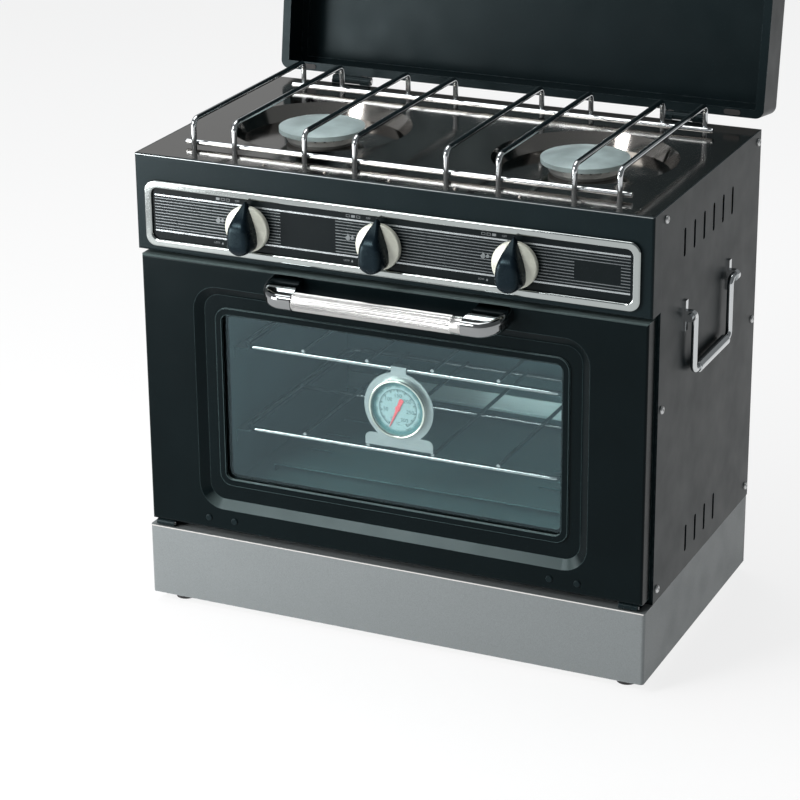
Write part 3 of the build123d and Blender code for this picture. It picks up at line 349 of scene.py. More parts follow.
def show(tree, share, first, second):
    """Makes a mix of two shaders the material's surface."""
    both = node(tree, "ShaderNodeMixShader", {0: share, 1: first, 2: second})
    end = next(made for made in tree.nodes if made.type == "OUTPUT_MATERIAL")
    tree.links.new(both.outputs[0], end.inputs[0])


def black_enamel(
    name, colour, speck, roughness, level, bare_and_lit, bare_and_lit_share, dust_and_sheen_film, dust_and_sheen_film_share, evenness=0.0
):
    """Dark fired enamel with a lighter edge colour and a pale layer on faces that look up: light
    paint wear and dust, and on the door, set whole and strong, painted highlights.
    """
    tint = (0.8, 0.96, 1.0)
    material, tree, skin = finish(name, IOR=1.5, Specular_IOR_Level=level, Specular_Tint=tint)
    shell = put(
        tree, ENAMEL_SKIN, Colour=colour, Speck_Colour=speck, Speck_Share=0.1, Ripple=0.05,
        Roughness=roughness, Roughness_Spread=0.04,
    )
    worn_and_lit = put(
        tree, EDGE_WEAR_AND_HIGHLIGHT, Colour=shell["Colour"], Bare_Colour=bare_and_lit, Amount=bare_and_lit_share,
        Evenness=evenness,
    )
    dust = put(
        tree, DUST_AND_SHEEN, Colour=worn_and_lit["Colour"], Dust_Colour=dust_and_sheen_film, Amount=dust_and_sheen_film_share,
        Evenness=evenness,
    )
    # On the door the edge colour and the up-facing layer are painted highlights, not wear and
    # dust.
    join(tree, skin, dust["Colour"], shell["Roughness"], shell["Normal"])
    return material


def oven_enamel():
    """The oven's own grey-green enamel, a little dusty."""
    material, tree, skin = finish("grey oven enamel", IOR=1.5, Specular_IOR_Level=0.3)
    shell = put(
        tree, ENAMEL_SKIN, Colour=(0.036, 0.07, 0.073), Speck_Colour=(0.045, 0.082, 0.086),
        Speck_Share=0.1, Ripple=0.006, Roughness=0.34, Roughness_Spread=0.06,
    )
    brown = (0.12, 0.09, 0.06)
    dust = put(tree, DUST_AND_SHEEN, Colour=shell["Colour"], Dust_Colour=brown, Amount=0.2)
    join(tree, skin, dust["Colour"], shell["Roughness"], shell["Normal"])
    return material


def hob_steel():
    """Polished steel with long fine lines, cloth marks and a little dust."""
    material, tree, skin = finish("polished hob steel", Metallic=1.0)
    grain = put(
        tree, BRUSHED_GRAIN, Colour=(0.3, 0.285, 0.265), Stretch=(0.015, 2.2, 2.2),
        Line_Depth=0.05, Tone_Spread=0.06, Roughness=0.1, Roughness_Spread=0.02,
    )
    marks = put(
        tree, HANDLING_MARKS, Roughness=grain["Roughness"], Added_Roughness=0.1, Patch_Size=35.0
    )
    sand = (0.3, 0.27, 0.23)
    dust = put(tree, DUST_AND_SHEEN, Colour=grain["Colour"], Dust_Colour=sand, Amount=0.12)
    join(tree, skin, dust["Colour"], marks["Roughness"], grain["Normal"])
    return material


def chrome(name, colour, roughness, dulling, stretch):
    """Plated or satin metal with handling marks."""
    material, tree, skin = finish(name, Metallic=1.0)
    grain = put(
        tree, BRUSHED_GRAIN, Colour=colour, Stretch=stretch, Line_Depth=0.02, Tone_Spread=0.03,
        Roughness=roughness, Roughness_Spread=0.015,
    )
    marks = put(
        tree, HANDLING_MARKS, Roughness=grain["Roughness"], Added_Roughness=dulling,
        Patch_Size=22.0,
    )
    join(tree, skin, grain["Colour"], marks["Roughness"], grain["Normal"])
    return material


def silver_paint():
    """The plinth's silver paint, lighter along its edges: partly paint wear, partly a painted
    highlight on its top edge.
    """
    material, tree, skin = finish("silver skirt paint", Metallic=0.3, Specular_IOR_Level=0.35)
    flake = put(
        tree, METAL_FLAKE, Colour=(0.185, 0.202, 0.205), Flake_Contrast=0.14, Flake_Scale=2.6,
        Tilt=0.12,
    )
    bright = (0.62, 0.64, 0.66)
    # The lighter edge colour is partly paint wear and partly a painted highlight along the
    # plinth's top edge.
    worn_and_lit = put(tree, EDGE_WEAR_AND_HIGHLIGHT, Colour=flake["Colour"], Bare_Colour=bright, Amount=0.6)
    marks = put(tree, HANDLING_MARKS, Roughness=0.42, Added_Roughness=0.1, Patch_Size=40.0)
    join(tree, skin, worn_and_lit["Colour"], marks["Roughness"], flake["Normal"])
    return material


def plain_steel(name, colour, roughness, stretch, depth=0.15):
    """Rolled sheet with a visible grain and a little dust."""
    material, tree, skin = finish(name, Metallic=1.0)
    grain = put(
        tree, BRUSHED_GRAIN, Colour=colour, Stretch=stretch, Line_Depth=depth, Tone_Spread=0.1,
        Roughness=roughness, Roughness_Spread=0.07,
    )
    sand = (0.35, 0.33, 0.3)
    dust = put(tree, DUST_AND_SHEEN, Colour=grain["Colour"], Dust_Colour=sand, Amount=0.12)
    join(tree, skin, dust["Colour"], grain["Roughness"], grain["Normal"])
    return material


def control_black():
    """The control plate's black ground."""
    material, tree, skin = finish("control plate black", IOR=1.5, Specular_IOR_Level=0.07)
    shell = put(
        tree, ENAMEL_SKIN, Colour=(0.005, 0.008, 0.009), Speck_Colour=(0.012, 0.016, 0.018),
        Speck_Share=0.08, Ripple=0.03, Roughness=0.34, Roughness_Spread=0.05,
    )
    join(tree, skin, shell["Colour"], shell["Roughness"], shell["Normal"])
    return material


def moulded(name, colour, roughness, depth, scale=4.0, roughness_spread=0.04, **settings):
    """Moulded plastic, rubber or dry ink: one even colour under a fine grain."""
    material, tree, skin = finish(name, **settings)
    grain = put(
        tree, MOULDED_GRAIN, Colour=colour, Grain_Scale=scale, Grain_Depth=depth,
        Roughness=roughness, Roughness_Spread=roughness_spread,
    )
    join(tree, skin, grain["Colour"], grain["Roughness"], grain["Normal"])
    return material


def printed_ink(name, colour, roughness, metallic=0.0):
    """Screen-printed ink: slightly uneven in tone, with a dry surface."""
    return moulded(name, colour, roughness, 0.15, 9.0, 0.08, Metallic=metallic)


def cast_metal(name, colour, roughness, metallic):
    """Sand-cast or pressed metal with a pebbled skin and heat-darkened patches."""
    material, tree, skin = finish(name, Metallic=metallic)
    place = millimetres(tree)
    heat = spread(tree, noise(tree, place, 0.05, 4.0), 0.35, 0.7)
    tint = blend_colour(tree, heat, colour, [v * 0.72 for v in colour])
    marks = put(tree, HANDLING_MARKS, Roughness=roughness, Added_Roughness=0.12, Patch_Size=18.0)
    pebbles = relief(tree, 0.25, 0.1, noise(tree, place, 1.6, 5.0))
    join(tree, skin, tint, marks["Roughness"], pebbles)
    return material


def rope():
    """Woven glass rope: crossed strands all round the seal."""
    material, tree, skin = finish("gasket rope", Roughness=0.85, Sheen_Weight=0.3)
    part = axes(tree, millimetres(tree))
    strands = []
    for way in ("ADD", "SUBTRACT"):
        along = calc(tree, way, part[0], part[2])
        strands.append(calc(tree, "SINE", calc(tree, "MULTIPLY", along, 2.6)))
    weave = calc(tree, "MULTIPLY", *strands)
    tone = spread(tree, weave, -1.0, 1.0)
    tint = blend_colour(tree, tone, (0.05, 0.05, 0.05), (0.14, 0.14, 0.135))
    join(tree, skin, tint, None, relief(tree, 0.6, 0.4, weave))
    return material


INLET_X = 218.0
INLET_Z = 368.8
THREAD_START = 297.0
THREAD_PITCH = 1.34


def threaded_brass():
    """Brass with a fine thread cut on the stub behind the nut."""
    material, tree, skin = finish("inlet brass", Metallic=1.0)
    part = axes(tree, millimetres(tree))
    x = calc(tree, "SUBTRACT", part[0], INLET_X)
    z = calc(tree, "SUBTRACT", part[2], INLET_Z)
    turn = calc(tree, "DIVIDE", calc(tree, "ARCTAN2", z, x), 2 * math.pi)
    run = calc(tree, "DIVIDE", part[1], THREAD_PITCH)
    ridge = calc(tree, "PINGPONG", calc(tree, "FRACT", calc(tree, "ADD", run, turn)), 0.5)
    stub = calc(tree, "GREATER_THAN", part[1], mm(FRONT) + THREAD_START)
    normal = relief(tree, 1.0, 0.9, calc(tree, "MULTIPLY", ridge, stub))
    marks = put(tree, HANDLING_MARKS, Roughness=0.24, Added_Roughness=0.2, Patch_Size=9.0)
    tint = blend_colour(tree, marks["Mask"], (0.66, 0.47, 0.2), (0.42, 0.29, 0.13))
    join(tree, skin, tint, marks["Roughness"], normal)
    return material


def dial_paper():
    """The dial's card: pale in the middle and deep teal towards the rim, a painted shade where the
    case's deep wall shades the card.
    """
    material, tree, skin = finish("dial card", IOR=1.45)
    part = axes(tree, millimetres(tree))
    centre = face_centre("thermometer_dial")
    squares = []
    for place, middle in ((part[0], centre[0]), (part[2], centre[1])):
        squares.append(calc(tree, "POWER", calc(tree, "SUBTRACT", place, middle), 2.0))
    radius = calc(tree, "SQRT", calc(tree, "ADD", *squares))
    # Painted shade: the card darkens to deep teal over its outer ring, where the case's wall
    # shades it.
    rim = spread(tree, radius, 20.3, 22.6)
    tint = blend_colour(tree, rim, (0.23, 0.285, 0.29), (0.035, 0.105, 0.11))
    grain = put(
        tree, MOULDED_GRAIN, Colour=tint, Grain_Scale=6.0, Grain_Depth=0.1, Roughness=0.5,
        Roughness_Spread=0.05,
    )
    join(tree, skin, grain["Colour"], grain["Roughness"], grain["Normal"])
    return material


def pane(name, colour, ior):
    """Clear glass; the lamps' light passes it, so that what lies behind it is lit."""
    material, tree, skin = finish(
        name, Base_Color=colour, Metallic=0.0, Transmission_Weight=1.0, IOR=ior,
        Specular_IOR_Level=0.5, Specular_Tint=(0.62, 0.89, 1.0),
    )
    marks = put(tree, HANDLING_MARKS, Roughness=0.02, Added_Roughness=0.02, Patch_Size=60.0)
    join(tree, skin, roughness=marks["Roughness"])
    open_way = node(tree, "ShaderNodeBsdfTransparent", {0: colour})
    path = node(tree, "ShaderNodeLightPath")
    show(tree, path.outputs["Is Shadow Ray"], skin.outputs[0], open_way.outputs[0])
    return material


EVEN = (1.0, 1.0, 1.0)
ALONG = (0.03, 2.5, 2.5)

FINISHES = {
    "black_enamel": black_enamel(
        "dark teal enamel", colour=(0.0045, 0.009, 0.0105), speck=(0.01, 0.018, 0.02),
        roughness=0.33, level=0.1, bare_and_lit=(0.1, 0.13, 0.14), bare_and_lit_share=0.35,
        dust_and_sheen_film=(0.2, 0.21, 0.21), dust_and_sheen_film_share=0.03,
    ),
    "oven_enamel": oven_enamel(),
    "hob_steel": hob_steel(),
    "silver_paint": silver_paint(),
    "striped_plate": control_black(),
    "chrome": chrome("bright wire chrome", (0.56, 0.58, 0.59), 0.1, 0.06, (1.5, 1.5, 1.5)),
    "trim": chrome("trim chrome", (0.37, 0.4, 0.395), 0.06, 0.04, ALONG),
    "bar": chrome("handle bar satin", (0.47, 0.47, 0.46), 0.24, 0.01, (0.03, 3.0, 3.0)),
    "zinc_steel": plain_steel("zinc sheet", (0.55, 0.56, 0.56), 0.42, (0.5, 0.5, 0.12)),
    "painted_highlight_edge": chrome("steel painted highlight", (0.8, 0.79, 0.76), 0.2, 0.05, ALONG),
    "gasket": moulded(
        "window gasket black", (0.003, 0.0045, 0.005), 0.5, 0.05, Specular_IOR_Level=0.2
    ),
    "rim": chrome("thermometer rim", (0.85, 0.82, 0.75), 0.16, 0.03, EVEN),
    "dial_steel": plain_steel(
        "thermometer steel", (0.31, 0.335, 0.34), 0.36, (0.08, 3.0, 3.0), 0.2
    ),
    "brass": threaded_brass(),
    "cast_aluminium": cast_metal("cast burner metal", (0.5, 0.52, 0.52), 0.45, 0.9),
    "cap_enamel": cast_metal("burner cap enamel", (0.42, 0.52, 0.52), 0.3, 0.15),
    "knob_plastic": moulded(
        "knob grip black", (0.003, 0.006, 0.009), 0.27, 0.02,
        Specular_IOR_Level=0.15, Specular_Tint=(0.6, 0.9, 1.0),
    ),
    "cream_plastic": moulded(
        "knob disc cream", (0.56, 0.57, 0.49), 0.24, 0.02, Coat_Weight=0.3, Coat_Roughness=0.08
    ),
    "rubber": moulded("foot rubber", (0.018, 0.018, 0.018), 0.7, 0.4, 1.5),
    "seal_rubber": moulded("seal rubber", (0.012, 0.015, 0.016), 0.55, 0.25, 2.5),
    "glass_rope": rope(),
    "window_glass": pane("oven window glass", (0.86, 0.95, 0.95), 1.47),
    "dial_glass": pane("dial glass", (0.95, 0.98, 0.98), 1.3),
    "dial_face": dial_paper(),
    "pointer_red": printed_ink("pointer red", (0.62, 0.06, 0.07), 0.35),
}
SILVER_INK = printed_ink("silver print", (0.36, 0.39, 0.4), 0.24, 0.7)
GREY_INK = printed_ink("grey print", (0.12, 0.135, 0.14), 0.3, 0.5)
LEGEND_INK = printed_ink("legend print", (0.13, 0.145, 0.15), 0.4, 0.2)
DIAL_INK = printed_ink("dial print", (0.008, 0.014, 0.016), 0.6)
BAFFLE_STEEL = plain_steel("baffle steel", (0.6, 0.72, 0.72), 0.4, (0.03, 2.0, 2.0), 0.1)
RACK_CHROME = chrome("rack chrome", (0.4, 0.42, 0.43), 0.14, 0.04, EVEN)

# Nodes that don't take the finish of their slot
OWN_FINISH = {
    "trim_frame": FINISHES["trim"],
    # The door's lighter edge colour and its pale teal layer on up-facing faces are painted
    # highlights: light lines along the bead and emboss edges, and a painted sheen on the emboss's
    # lower slope.
    "door_skin": black_enamel(
        "door enamel with painted highlights", colour=(0.0022, 0.0046, 0.0053), speck=(0.005, 0.009, 0.01),
        roughness=0.23, level=0.07, bare_and_lit=(0.08, 0.12, 0.125), bare_and_lit_share=1.0,
        dust_and_sheen_film=(0.3, 0.4, 0.395), dust_and_sheen_film_share=0.45, evenness=0.85,
    ),
    "rear_baffle": BAFFLE_STEEL,
    "rack_upper": RACK_CHROME,
    "rack_lower": RACK_CHROME,
    # The handle ends take a darker copy of the chrome: painted shade standing in for the dark
    # surroundings they reflect.
    "handle_ends": chrome("handle end chrome darkened as painted shade", (0.27, 0.28, 0.285), 0.05, 0.03, EVEN),
}
for name in ("front_frame", "door_hinge_leaves", "door_hinge_bases", "door_liner"):
    OWN_FINISH[name] = FINISHES["black_enamel"]
for subpart in frame["record"]["subparts"]:
    name = subpart["node"]
    material = OWN_FINISH.get(name, FINISHES[subpart["material_slot"]])
    holder = frame["nodes"][name].data
    for index in range(len(holder.materials)):
        holder.materials[index] = material


# --------------------------------------------------------------- shape helpers


def piece(name, mesh, body, material, smooth=False):
    """Turns a finished bmesh into a piece that rides on its body."""
    bmesh.ops.recalc_face_normals(mesh, faces=mesh.faces)
    data = bpy.data.meshes.new(name)
    mesh.to_mesh(data)
    mesh.free()
    for face in data.polygons:
        face.use_smooth = smooth
    if smooth:
        data.set_sharp_from_angle(angle=math.radians(38))
    data.materials.append(material)
    made = bpy.data.objects.new(name, data)
    bpy.context.scene.collection.objects.link(made)
    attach(made, body)
    return made


def join_loops(mesh, near, far):
    """Faces between two closed loops that have the same number of corners."""
    for i in range(len(near)):
        j = (i + 1) % len(near)
        mesh.faces.new((near[i], near[j], far[j], far[i]))


def skin_over(mesh, loops):
    """Faces from each loop to the next, and a flat end on the first and the last."""
    for near, far in zip(loops, loops[1:]):
        join_loops(mesh, near, far)
    mesh.faces.new(loops[0])
    mesh.faces.new(list(reversed(loops[-1])))


def box_outline(left, low, right, high):
    """The four corners of an upright rectangle."""
    return [(left, low), (right, low), (right, high), (left, high)]


def add_print(mesh, outline, depth, thickness=0.05):
    """Adds a flat printed shape, given as (x, z) corners, that faces the front."""
    back = [mesh.verts.new(spot(x, depth, z)) for x, z in outline]
    face = [mesh.verts.new(spot(x, depth - thickness, z)) for x, z in outline]
    mesh.faces.new(face)
    mesh.faces.new(list(reversed(back)))
    join_loops(mesh, back, face)


def round_point(centre, radius, turn):
    """A point on a circle as (x, z), by its angle clockwise from the top."""
    angle = math.radians(turn)
    return centre[0] + math.sin(angle) * radius, centre[1] + math.cos(angle) * radius


def arc_outline(centre, radius, start, end, width, steps):
    """The corners of a curved bar, part of a ring."""
    turns = [start + (end - start) * i / steps for i in range(steps + 1)]
    outer = [round_point(centre, radius + width / 2, turn) for turn in turns]
    inner = [round_point(centre, radius - width / 2, turn) for turn in turns]
    return outer + list(reversed(inner))


def tick_outline(centre, turn, inner, outer, half_width):
    """The corners of a straight mark that points away from a centre."""
    angle = math.radians(turn)
    side = (math.cos(angle) * half_width, -math.sin(angle) * half_width)
    corners = []
    for radius, hand in ((inner, -1), (inner, 1), (outer, 1), (outer, -1)):
        x, z = round_point(centre, radius, turn)
        corners.append((x + hand * side[0], z + hand * side[1]))
    return corners


def add_words(mesh, words, x, z, depth, size, turn=0.0, thickness=0.05):
    """Adds plain words or numbers, centred, that face the front."""
    curve = bpy.data.curves.new("lettering", "FONT")
    curve.body = words
    curve.size = size
    curve.align_x = "CENTER"
    curve.align_y = "CENTER"
    curve.extrude = thickness / 2
    curve.resolution_u = 4
    holder = bpy.data.objects.new("lettering", curve)
    flat = bpy.data.meshes.new_from_object(holder)
    part = bmesh.new()
    part.from_mesh(flat)
    swing = Matrix.Rotation(-math.radians(turn), 3, "Z")
    for vertex in part.verts:
        at = swing @ vertex.co
        vertex.co = spot(x + at.x, depth - thickness / 2 - at.z, z + at.y)
    part.to_mesh(flat)
    part.free()
    mesh.from_mesh(flat)
    bpy.data.objects.remove(holder)
    bpy.data.curves.remove(curve)
    bpy.data.meshes.remove(flat)


def cross_axes(axis):
    """A direction of length one, and two more square to it."""
    axis = Vector(axis).normalized()
    side = axis.orthogonal().normalized()
    return axis, side, axis.cross(side)


def lathe(mesh, profile, place, axis, segments):
    """Adds a turned shape: profile is (radius, along), from one end to the other."""
    axis, side, other = cross_axes(axis)
    rings = []
    for radius, along in profile:
        at = place + axis * (along * MM)
        if radius <= 0:
            rings.append([mesh.verts.new(at)])
            continue
        ring = []
        for i in range(segments):
            angle = 2 * math.pi * i / segments
            out = side * math.cos(angle) + other * math.sin(angle)
            ring.append(mesh.verts.new(at + out * (radius * MM)))
        rings.append(ring)
    for near, far in zip(rings, rings[1:]):
        if len(near) > 1 and len(far) > 1:
            join_loops(mesh, near, far)
            continue
        for i in range(segments):
            j = (i + 1) % segments
            fan = (near[0], far[j], far[i]) if len(near) == 1 else (near[i], near[j], far[0])
            mesh.faces.new(fan)


# ------------------------------------------------------- print on the control plate

PLATE_FACE = -0.8
KNOB_XS = (-131.5, -3.5, 124.5)
LINE_TOP = 406.9
LINE_LOW = 373.6
LINE_HALF = 227.0
BROAD_HALF = 0.75
FINE_HALF = 0.4
FINE_LINES = 11
PLAIN_FIELDS = ((-101, -47, 374, 406), (176.5, 218.5, 380.5, 397))


def make_border_lines():
    """The two broad silver lines that frame the fine stripes."""
    mesh = bmesh.new()
    for z in (LINE_TOP, LINE_LOW):
        line = box_outline(-LINE_HALF, z - BROAD_HALF, LINE_HALF, z + BROAD_HALF)
        add_print(mesh, line, PLATE_FACE)
    piece("plate_border_lines", mesh, "stove", SILVER_INK)


def make_pinstripes():
    """Fine stripes between the broad lines, broken by two plain fields."""
    mesh = bmesh.new()
    pitch = (LINE_TOP - LINE_LOW) / (FINE_LINES + 1)
    for i in range(1, FINE_LINES + 1):
        z = LINE_LOW + pitch * i
        ends = [-LINE_HALF]
        for left, right, bottom, top in PLAIN_FIELDS:
            if bottom < z < top:
                ends += [left, right]
        ends.append(LINE_HALF)
        for start, end in zip(ends[::2], ends[1::2]):
            add_print(mesh, box_outline(start, z - FINE_HALF, end, z + FINE_HALF), PLATE_FACE)
    piece("plate_pinstripes", mesh, "stove", GREY_INK)


FLAME = (
    (0.0, 0.5), (0.12, 0.28), (0.3, 0.08), (0.36, -0.14), (0.3, -0.36), (0.14, -0.5),
    (-0.14, -0.5), (-0.3, -0.36), (-0.36, -0.12), (-0.26, 0.08), (-0.16, 0.0), (-0.1, 0.22),
)
LETTER = 2.5
OFF_SHIFT, OFF_Z = -11.6, 410.4
LOW_SHIFT, LOW_Z = -33, 369.3
LOW_FLAME_SHIFT, LOW_FLAME = -27.6, 2.4
HIGH_FLAMES = ((-31.5, 6.2), (-27.2, 4.4))
HIGH_Z = 391.2
FIELD_SHIFT, FIELD_LOW, FIELD_PITCH = -33, 409.3, 5
FIELD_WIDTH, FIELD_HEIGHT, FIELD_RIM = 3.6, 2.3, 0.35


def add_flame(mesh, x, z, size, depth):
    """Adds a plain flame mark."""
    add_print(mesh, [(x + a * size, z + b * size) for a, b in FLAME], depth)


def add_field(mesh, left, low, filled):
    """Adds a small rectangle, whole or as a thin outline."""
    right, high = left + FIELD_WIDTH, low + FIELD_HEIGHT
    if filled:
        add_print(mesh, box_outline(left, low, right, high), PLATE_FACE)
        return
    rim = FIELD_RIM
    for sides in (
        (left, low, right, low + rim),
        (left, high - rim, right, high),
        (left, low + rim, left + rim, high - rim),
        (right - rim, low + rim, right, high - rim),
    ):
        add_print(mesh, box_outline(*sides), PLATE_FACE)


def make_legends():
    """Off, flame and low marks at each knob, with the place of its burner."""
    mesh = bmesh.new()
    for index, x in enumerate(KNOB_XS):
        add_words(mesh, "OFF", x + OFF_SHIFT, OFF_Z, PLATE_FACE, LETTER)
        for field in range(len(KNOB_XS)):
            left = x + FIELD_SHIFT + field * FIELD_PITCH
            add_field(mesh, left, FIELD_LOW, field == index)
        for shift, size in HIGH_FLAMES:
            add_flame(mesh, x + shift, HIGH_Z, size, PLATE_FACE - 0.04)
        add_words(mesh, "LOW", x + LOW_SHIFT, LOW_Z, PLATE_FACE, LETTER)
        add_flame(mesh, x + LOW_FLAME_SHIFT, LOW_Z, LOW_FLAME, PLATE_FACE)
    piece("plate_legends", mesh, "stove", LEGEND_INK)


# --------------------------------------------------------------------- handle bar

RIBS = 19
RIB_DEPTH = 0.5
BAR_STEPS = 168
BAR_CHAMFER = 0.5
BAR_SHRINK = 0.02
FERRULE = 10
GROOVE_DEPTH = 0.25


def make_handle_bar():
    """The bar between the elbows: finely ribbed along its length, with a plain ferrule."""
    low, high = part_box("handle_bar")
    middle_z = (low[2] + high[2]) / 2
    front_y = low[1]
    flat = mm(high[1] - low[1])
    half = mm(high[2] - low[2]) / 2
    radius = (flat * flat + half * half) / (2 * flat)
    sweep = math.pi - math.asin(half / radius)
    left, right = mm(low[0]), mm(high[0])
    groove = right - FERRULE
    # Along the bar: where, whether the ribs stand there, and how much the radius grows
    stations = (
        (left, 0, -BAR_CHAMFER), (left + BAR_CHAMFER, 0, 0), (left + 1.3, 0, 0),
        (left + 1.7, 1, 0), (groove - 0.6, 1, 0), (groove - 0.2, 0, -GROOVE_DEPTH),
        (groove + 0.2, 0, -GROOVE_DEPTH), (groove + 0.6, 0, 0), (right - BAR_CHAMFER, 0, 0),
        (right, 0, -BAR_CHAMFER),
    )
    mesh = bmesh.new()
    rings = []
    for x, ribbed, swell in stations:
        ring = []
        for i in range(BAR_STEPS + 1):
            angle = -sweep + 2 * sweep * i / BAR_STEPS
            crest = 0.5 + 0.5 * math.cos(2 * math.pi * RIBS * i / BAR_STEPS)
            reach = radius + swell - ribbed * RIB_DEPTH * crest - (1 - ribbed) * BAR_SHRINK
            y = front_y + (radius - reach * math.cos(angle)) * MM
            z = middle_z + reach * math.sin(angle) * MM
            ring.append(mesh.verts.new((x * MM, min(y, high[1]), z)))
        rings.append(ring)
    skin_over(mesh, rings)
    made = piece("handle_bar_ribbed", mesh, "door", FINISHES["bar"], smooth=True)
    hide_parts("handle_bar")


# --------------------------------------------------------------- thermometer

SCALE_START = 210
SCALE_SWEEP = 300
TICKS = 60
TICK_INNER, LONG_TICK_INNER, TICK_OUTER = 16.6, 15.6, 18.2
TICK_HALF, LONG_TICK_HALF = 0.3, 0.5
RING_RADIUS, RING_WIDTH, RING_PARTS = 18.35, 0.5, 12
# How many numbers, the radius that they stand on, and their size
INNER_NUMBERS = (7, 12.2, 5.2)
OUTER_NUMBERS = (13, 21.2, 3.6)
DEGREE_DROP, DEGREE_SIZE = 14.6, 4.2
DIAL_PRINT = 0.04


def make_dial_print():
    """Ticks, two rings of numbers and a degree mark on the dial's card."""
    centre = face_centre("thermometer_dial")
    face = depth_of(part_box("thermometer_dial")[0][1])
    mesh = bmesh.new()
    for i in range(TICKS + 1):
        turn = SCALE_START + SCALE_SWEEP * i / TICKS
        inner, half = (TICK_INNER, TICK_HALF) if i % 5 else (LONG_TICK_INNER, LONG_TICK_HALF)
        add_print(mesh, tick_outline(centre, turn, inner, TICK_OUTER, half), face, DIAL_PRINT)
    step = SCALE_SWEEP / RING_PARTS
    for k in range(RING_PARTS):
        turn = SCALE_START + step * k
        arc = arc_outline(centre, RING_RADIUS, turn, turn + step, RING_WIDTH, 10)
        add_print(mesh, arc, face, DIAL_PRINT)
    for (count, radius, size), upright in ((INNER_NUMBERS, True), (OUTER_NUMBERS, False)):
        for k in range(count):
            turn = SCALE_START + SCALE_SWEEP * k / (count - 1)
            x, z = round_point(centre, radius, turn)
            add_words(mesh, str(50 * k), x, z, face, size, 0 if upright else turn, DIAL_PRINT)
    x, z = centre
    add_words(mesh, "°C", x, z - DEGREE_DROP, face, DEGREE_SIZE, 0, DIAL_PRINT)
    piece("dial_print", mesh, "thermometer", DIAL_INK)


POINTER_TURN = 204
HUB_PROUD = 0.12
BLADE = (
    (-0.3, 20.0), (0.3, 20.0), (1.3, 2.0), (2.2, -9.6),
    (1.6, -10.2), (-1.6, -10.2), (-2.2, -9.6), (-1.3, 2.0),
)


def make_pointer():
    """The needle: a slim blade with a broad tail, on a round hub."""
    low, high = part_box("thermometer_pointer")
    x, z = face_centre("thermometer_dial")
    back = depth_of(high[1])
    thickness = back - depth_of(low[1])
    cos, sin = math.cos(math.radians(POINTER_TURN)), math.sin(math.radians(POINTER_TURN))
    mesh = bmesh.new()
    outline = [(x + a * cos + b * sin, z - a * sin + b * cos) for a, b in BLADE]
    add_print(mesh, outline, back, thickness - HUB_PROUD)
    hub = [(0, 0), (2.6, 0), (2.6, 0.35), (2.2, 0.55), (0, thickness)]
    lathe(mesh, hub, spot(x, back, z), (0, -1, 0), 28)
    red = FINISHES["pointer_red"]
    made = piece("pointer_blade", mesh, "thermometer_pointer", red)
    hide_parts("thermometer_pointer")


ROLL = 1.3
ROLL_STEPS = 14
RIM_LIP = 2.0
CASE_CORNER = 0.3
CASE_SHEET = 0.6


def make_dial_case():
    """The thermometer's case with a rolled bright rim round the glass."""
    low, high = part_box("thermometer_case")
    radius = mm(high[0] - low[0]) / 2
    deep = mm(high[1] - low[1])
    middle = Vector(((low[0] + high[0]) / 2, low[1], (low[2] + high[2]) / 2))
    profile = [
        (0, deep), (radius - CASE_CORNER, deep), (radius, deep - CASE_CORNER),
        (radius, ROLL + 0.5),
    ]
    bore = radius - ROLL
    for i in range(1, ROLL_STEPS):
        angle = math.pi * i / ROLL_STEPS
        profile.append((bore + ROLL * math.cos(angle), ROLL - ROLL * math.sin(angle)))
    card = mm(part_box("thermometer_dial")[0][1] - low[1]) - DIAL_PRINT
    profile += [
        (bore - RIM_LIP, card), (bore, card), (bore, deep - CASE_SHEET), (0, deep - CASE_SHEET),
    ]
    mesh = bmesh.new()
    lathe(mesh, profile, middle, (0, 1, 0), 96)
    rim = FINISHES["rim"]
    made = piece("thermometer_rim", mesh, "thermometer", rim, smooth=True)
    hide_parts("thermometer_case")


# ----------------------------------------------------------------------- knob grips

GRIP_ROWS = 56
GRIP_ARCH = 36
GRIP_FULLNESS = 1.12
GRIP_PROUD = 1.5
GRIP_WAIST = 0.33
GRIP_LEAST = 0.25
GRIP_TIP = 2.4
GRIP_FALL, GRIP_FALL_START = 4.0, 5
GRIP_SQUARENESS = 2 / 5.5


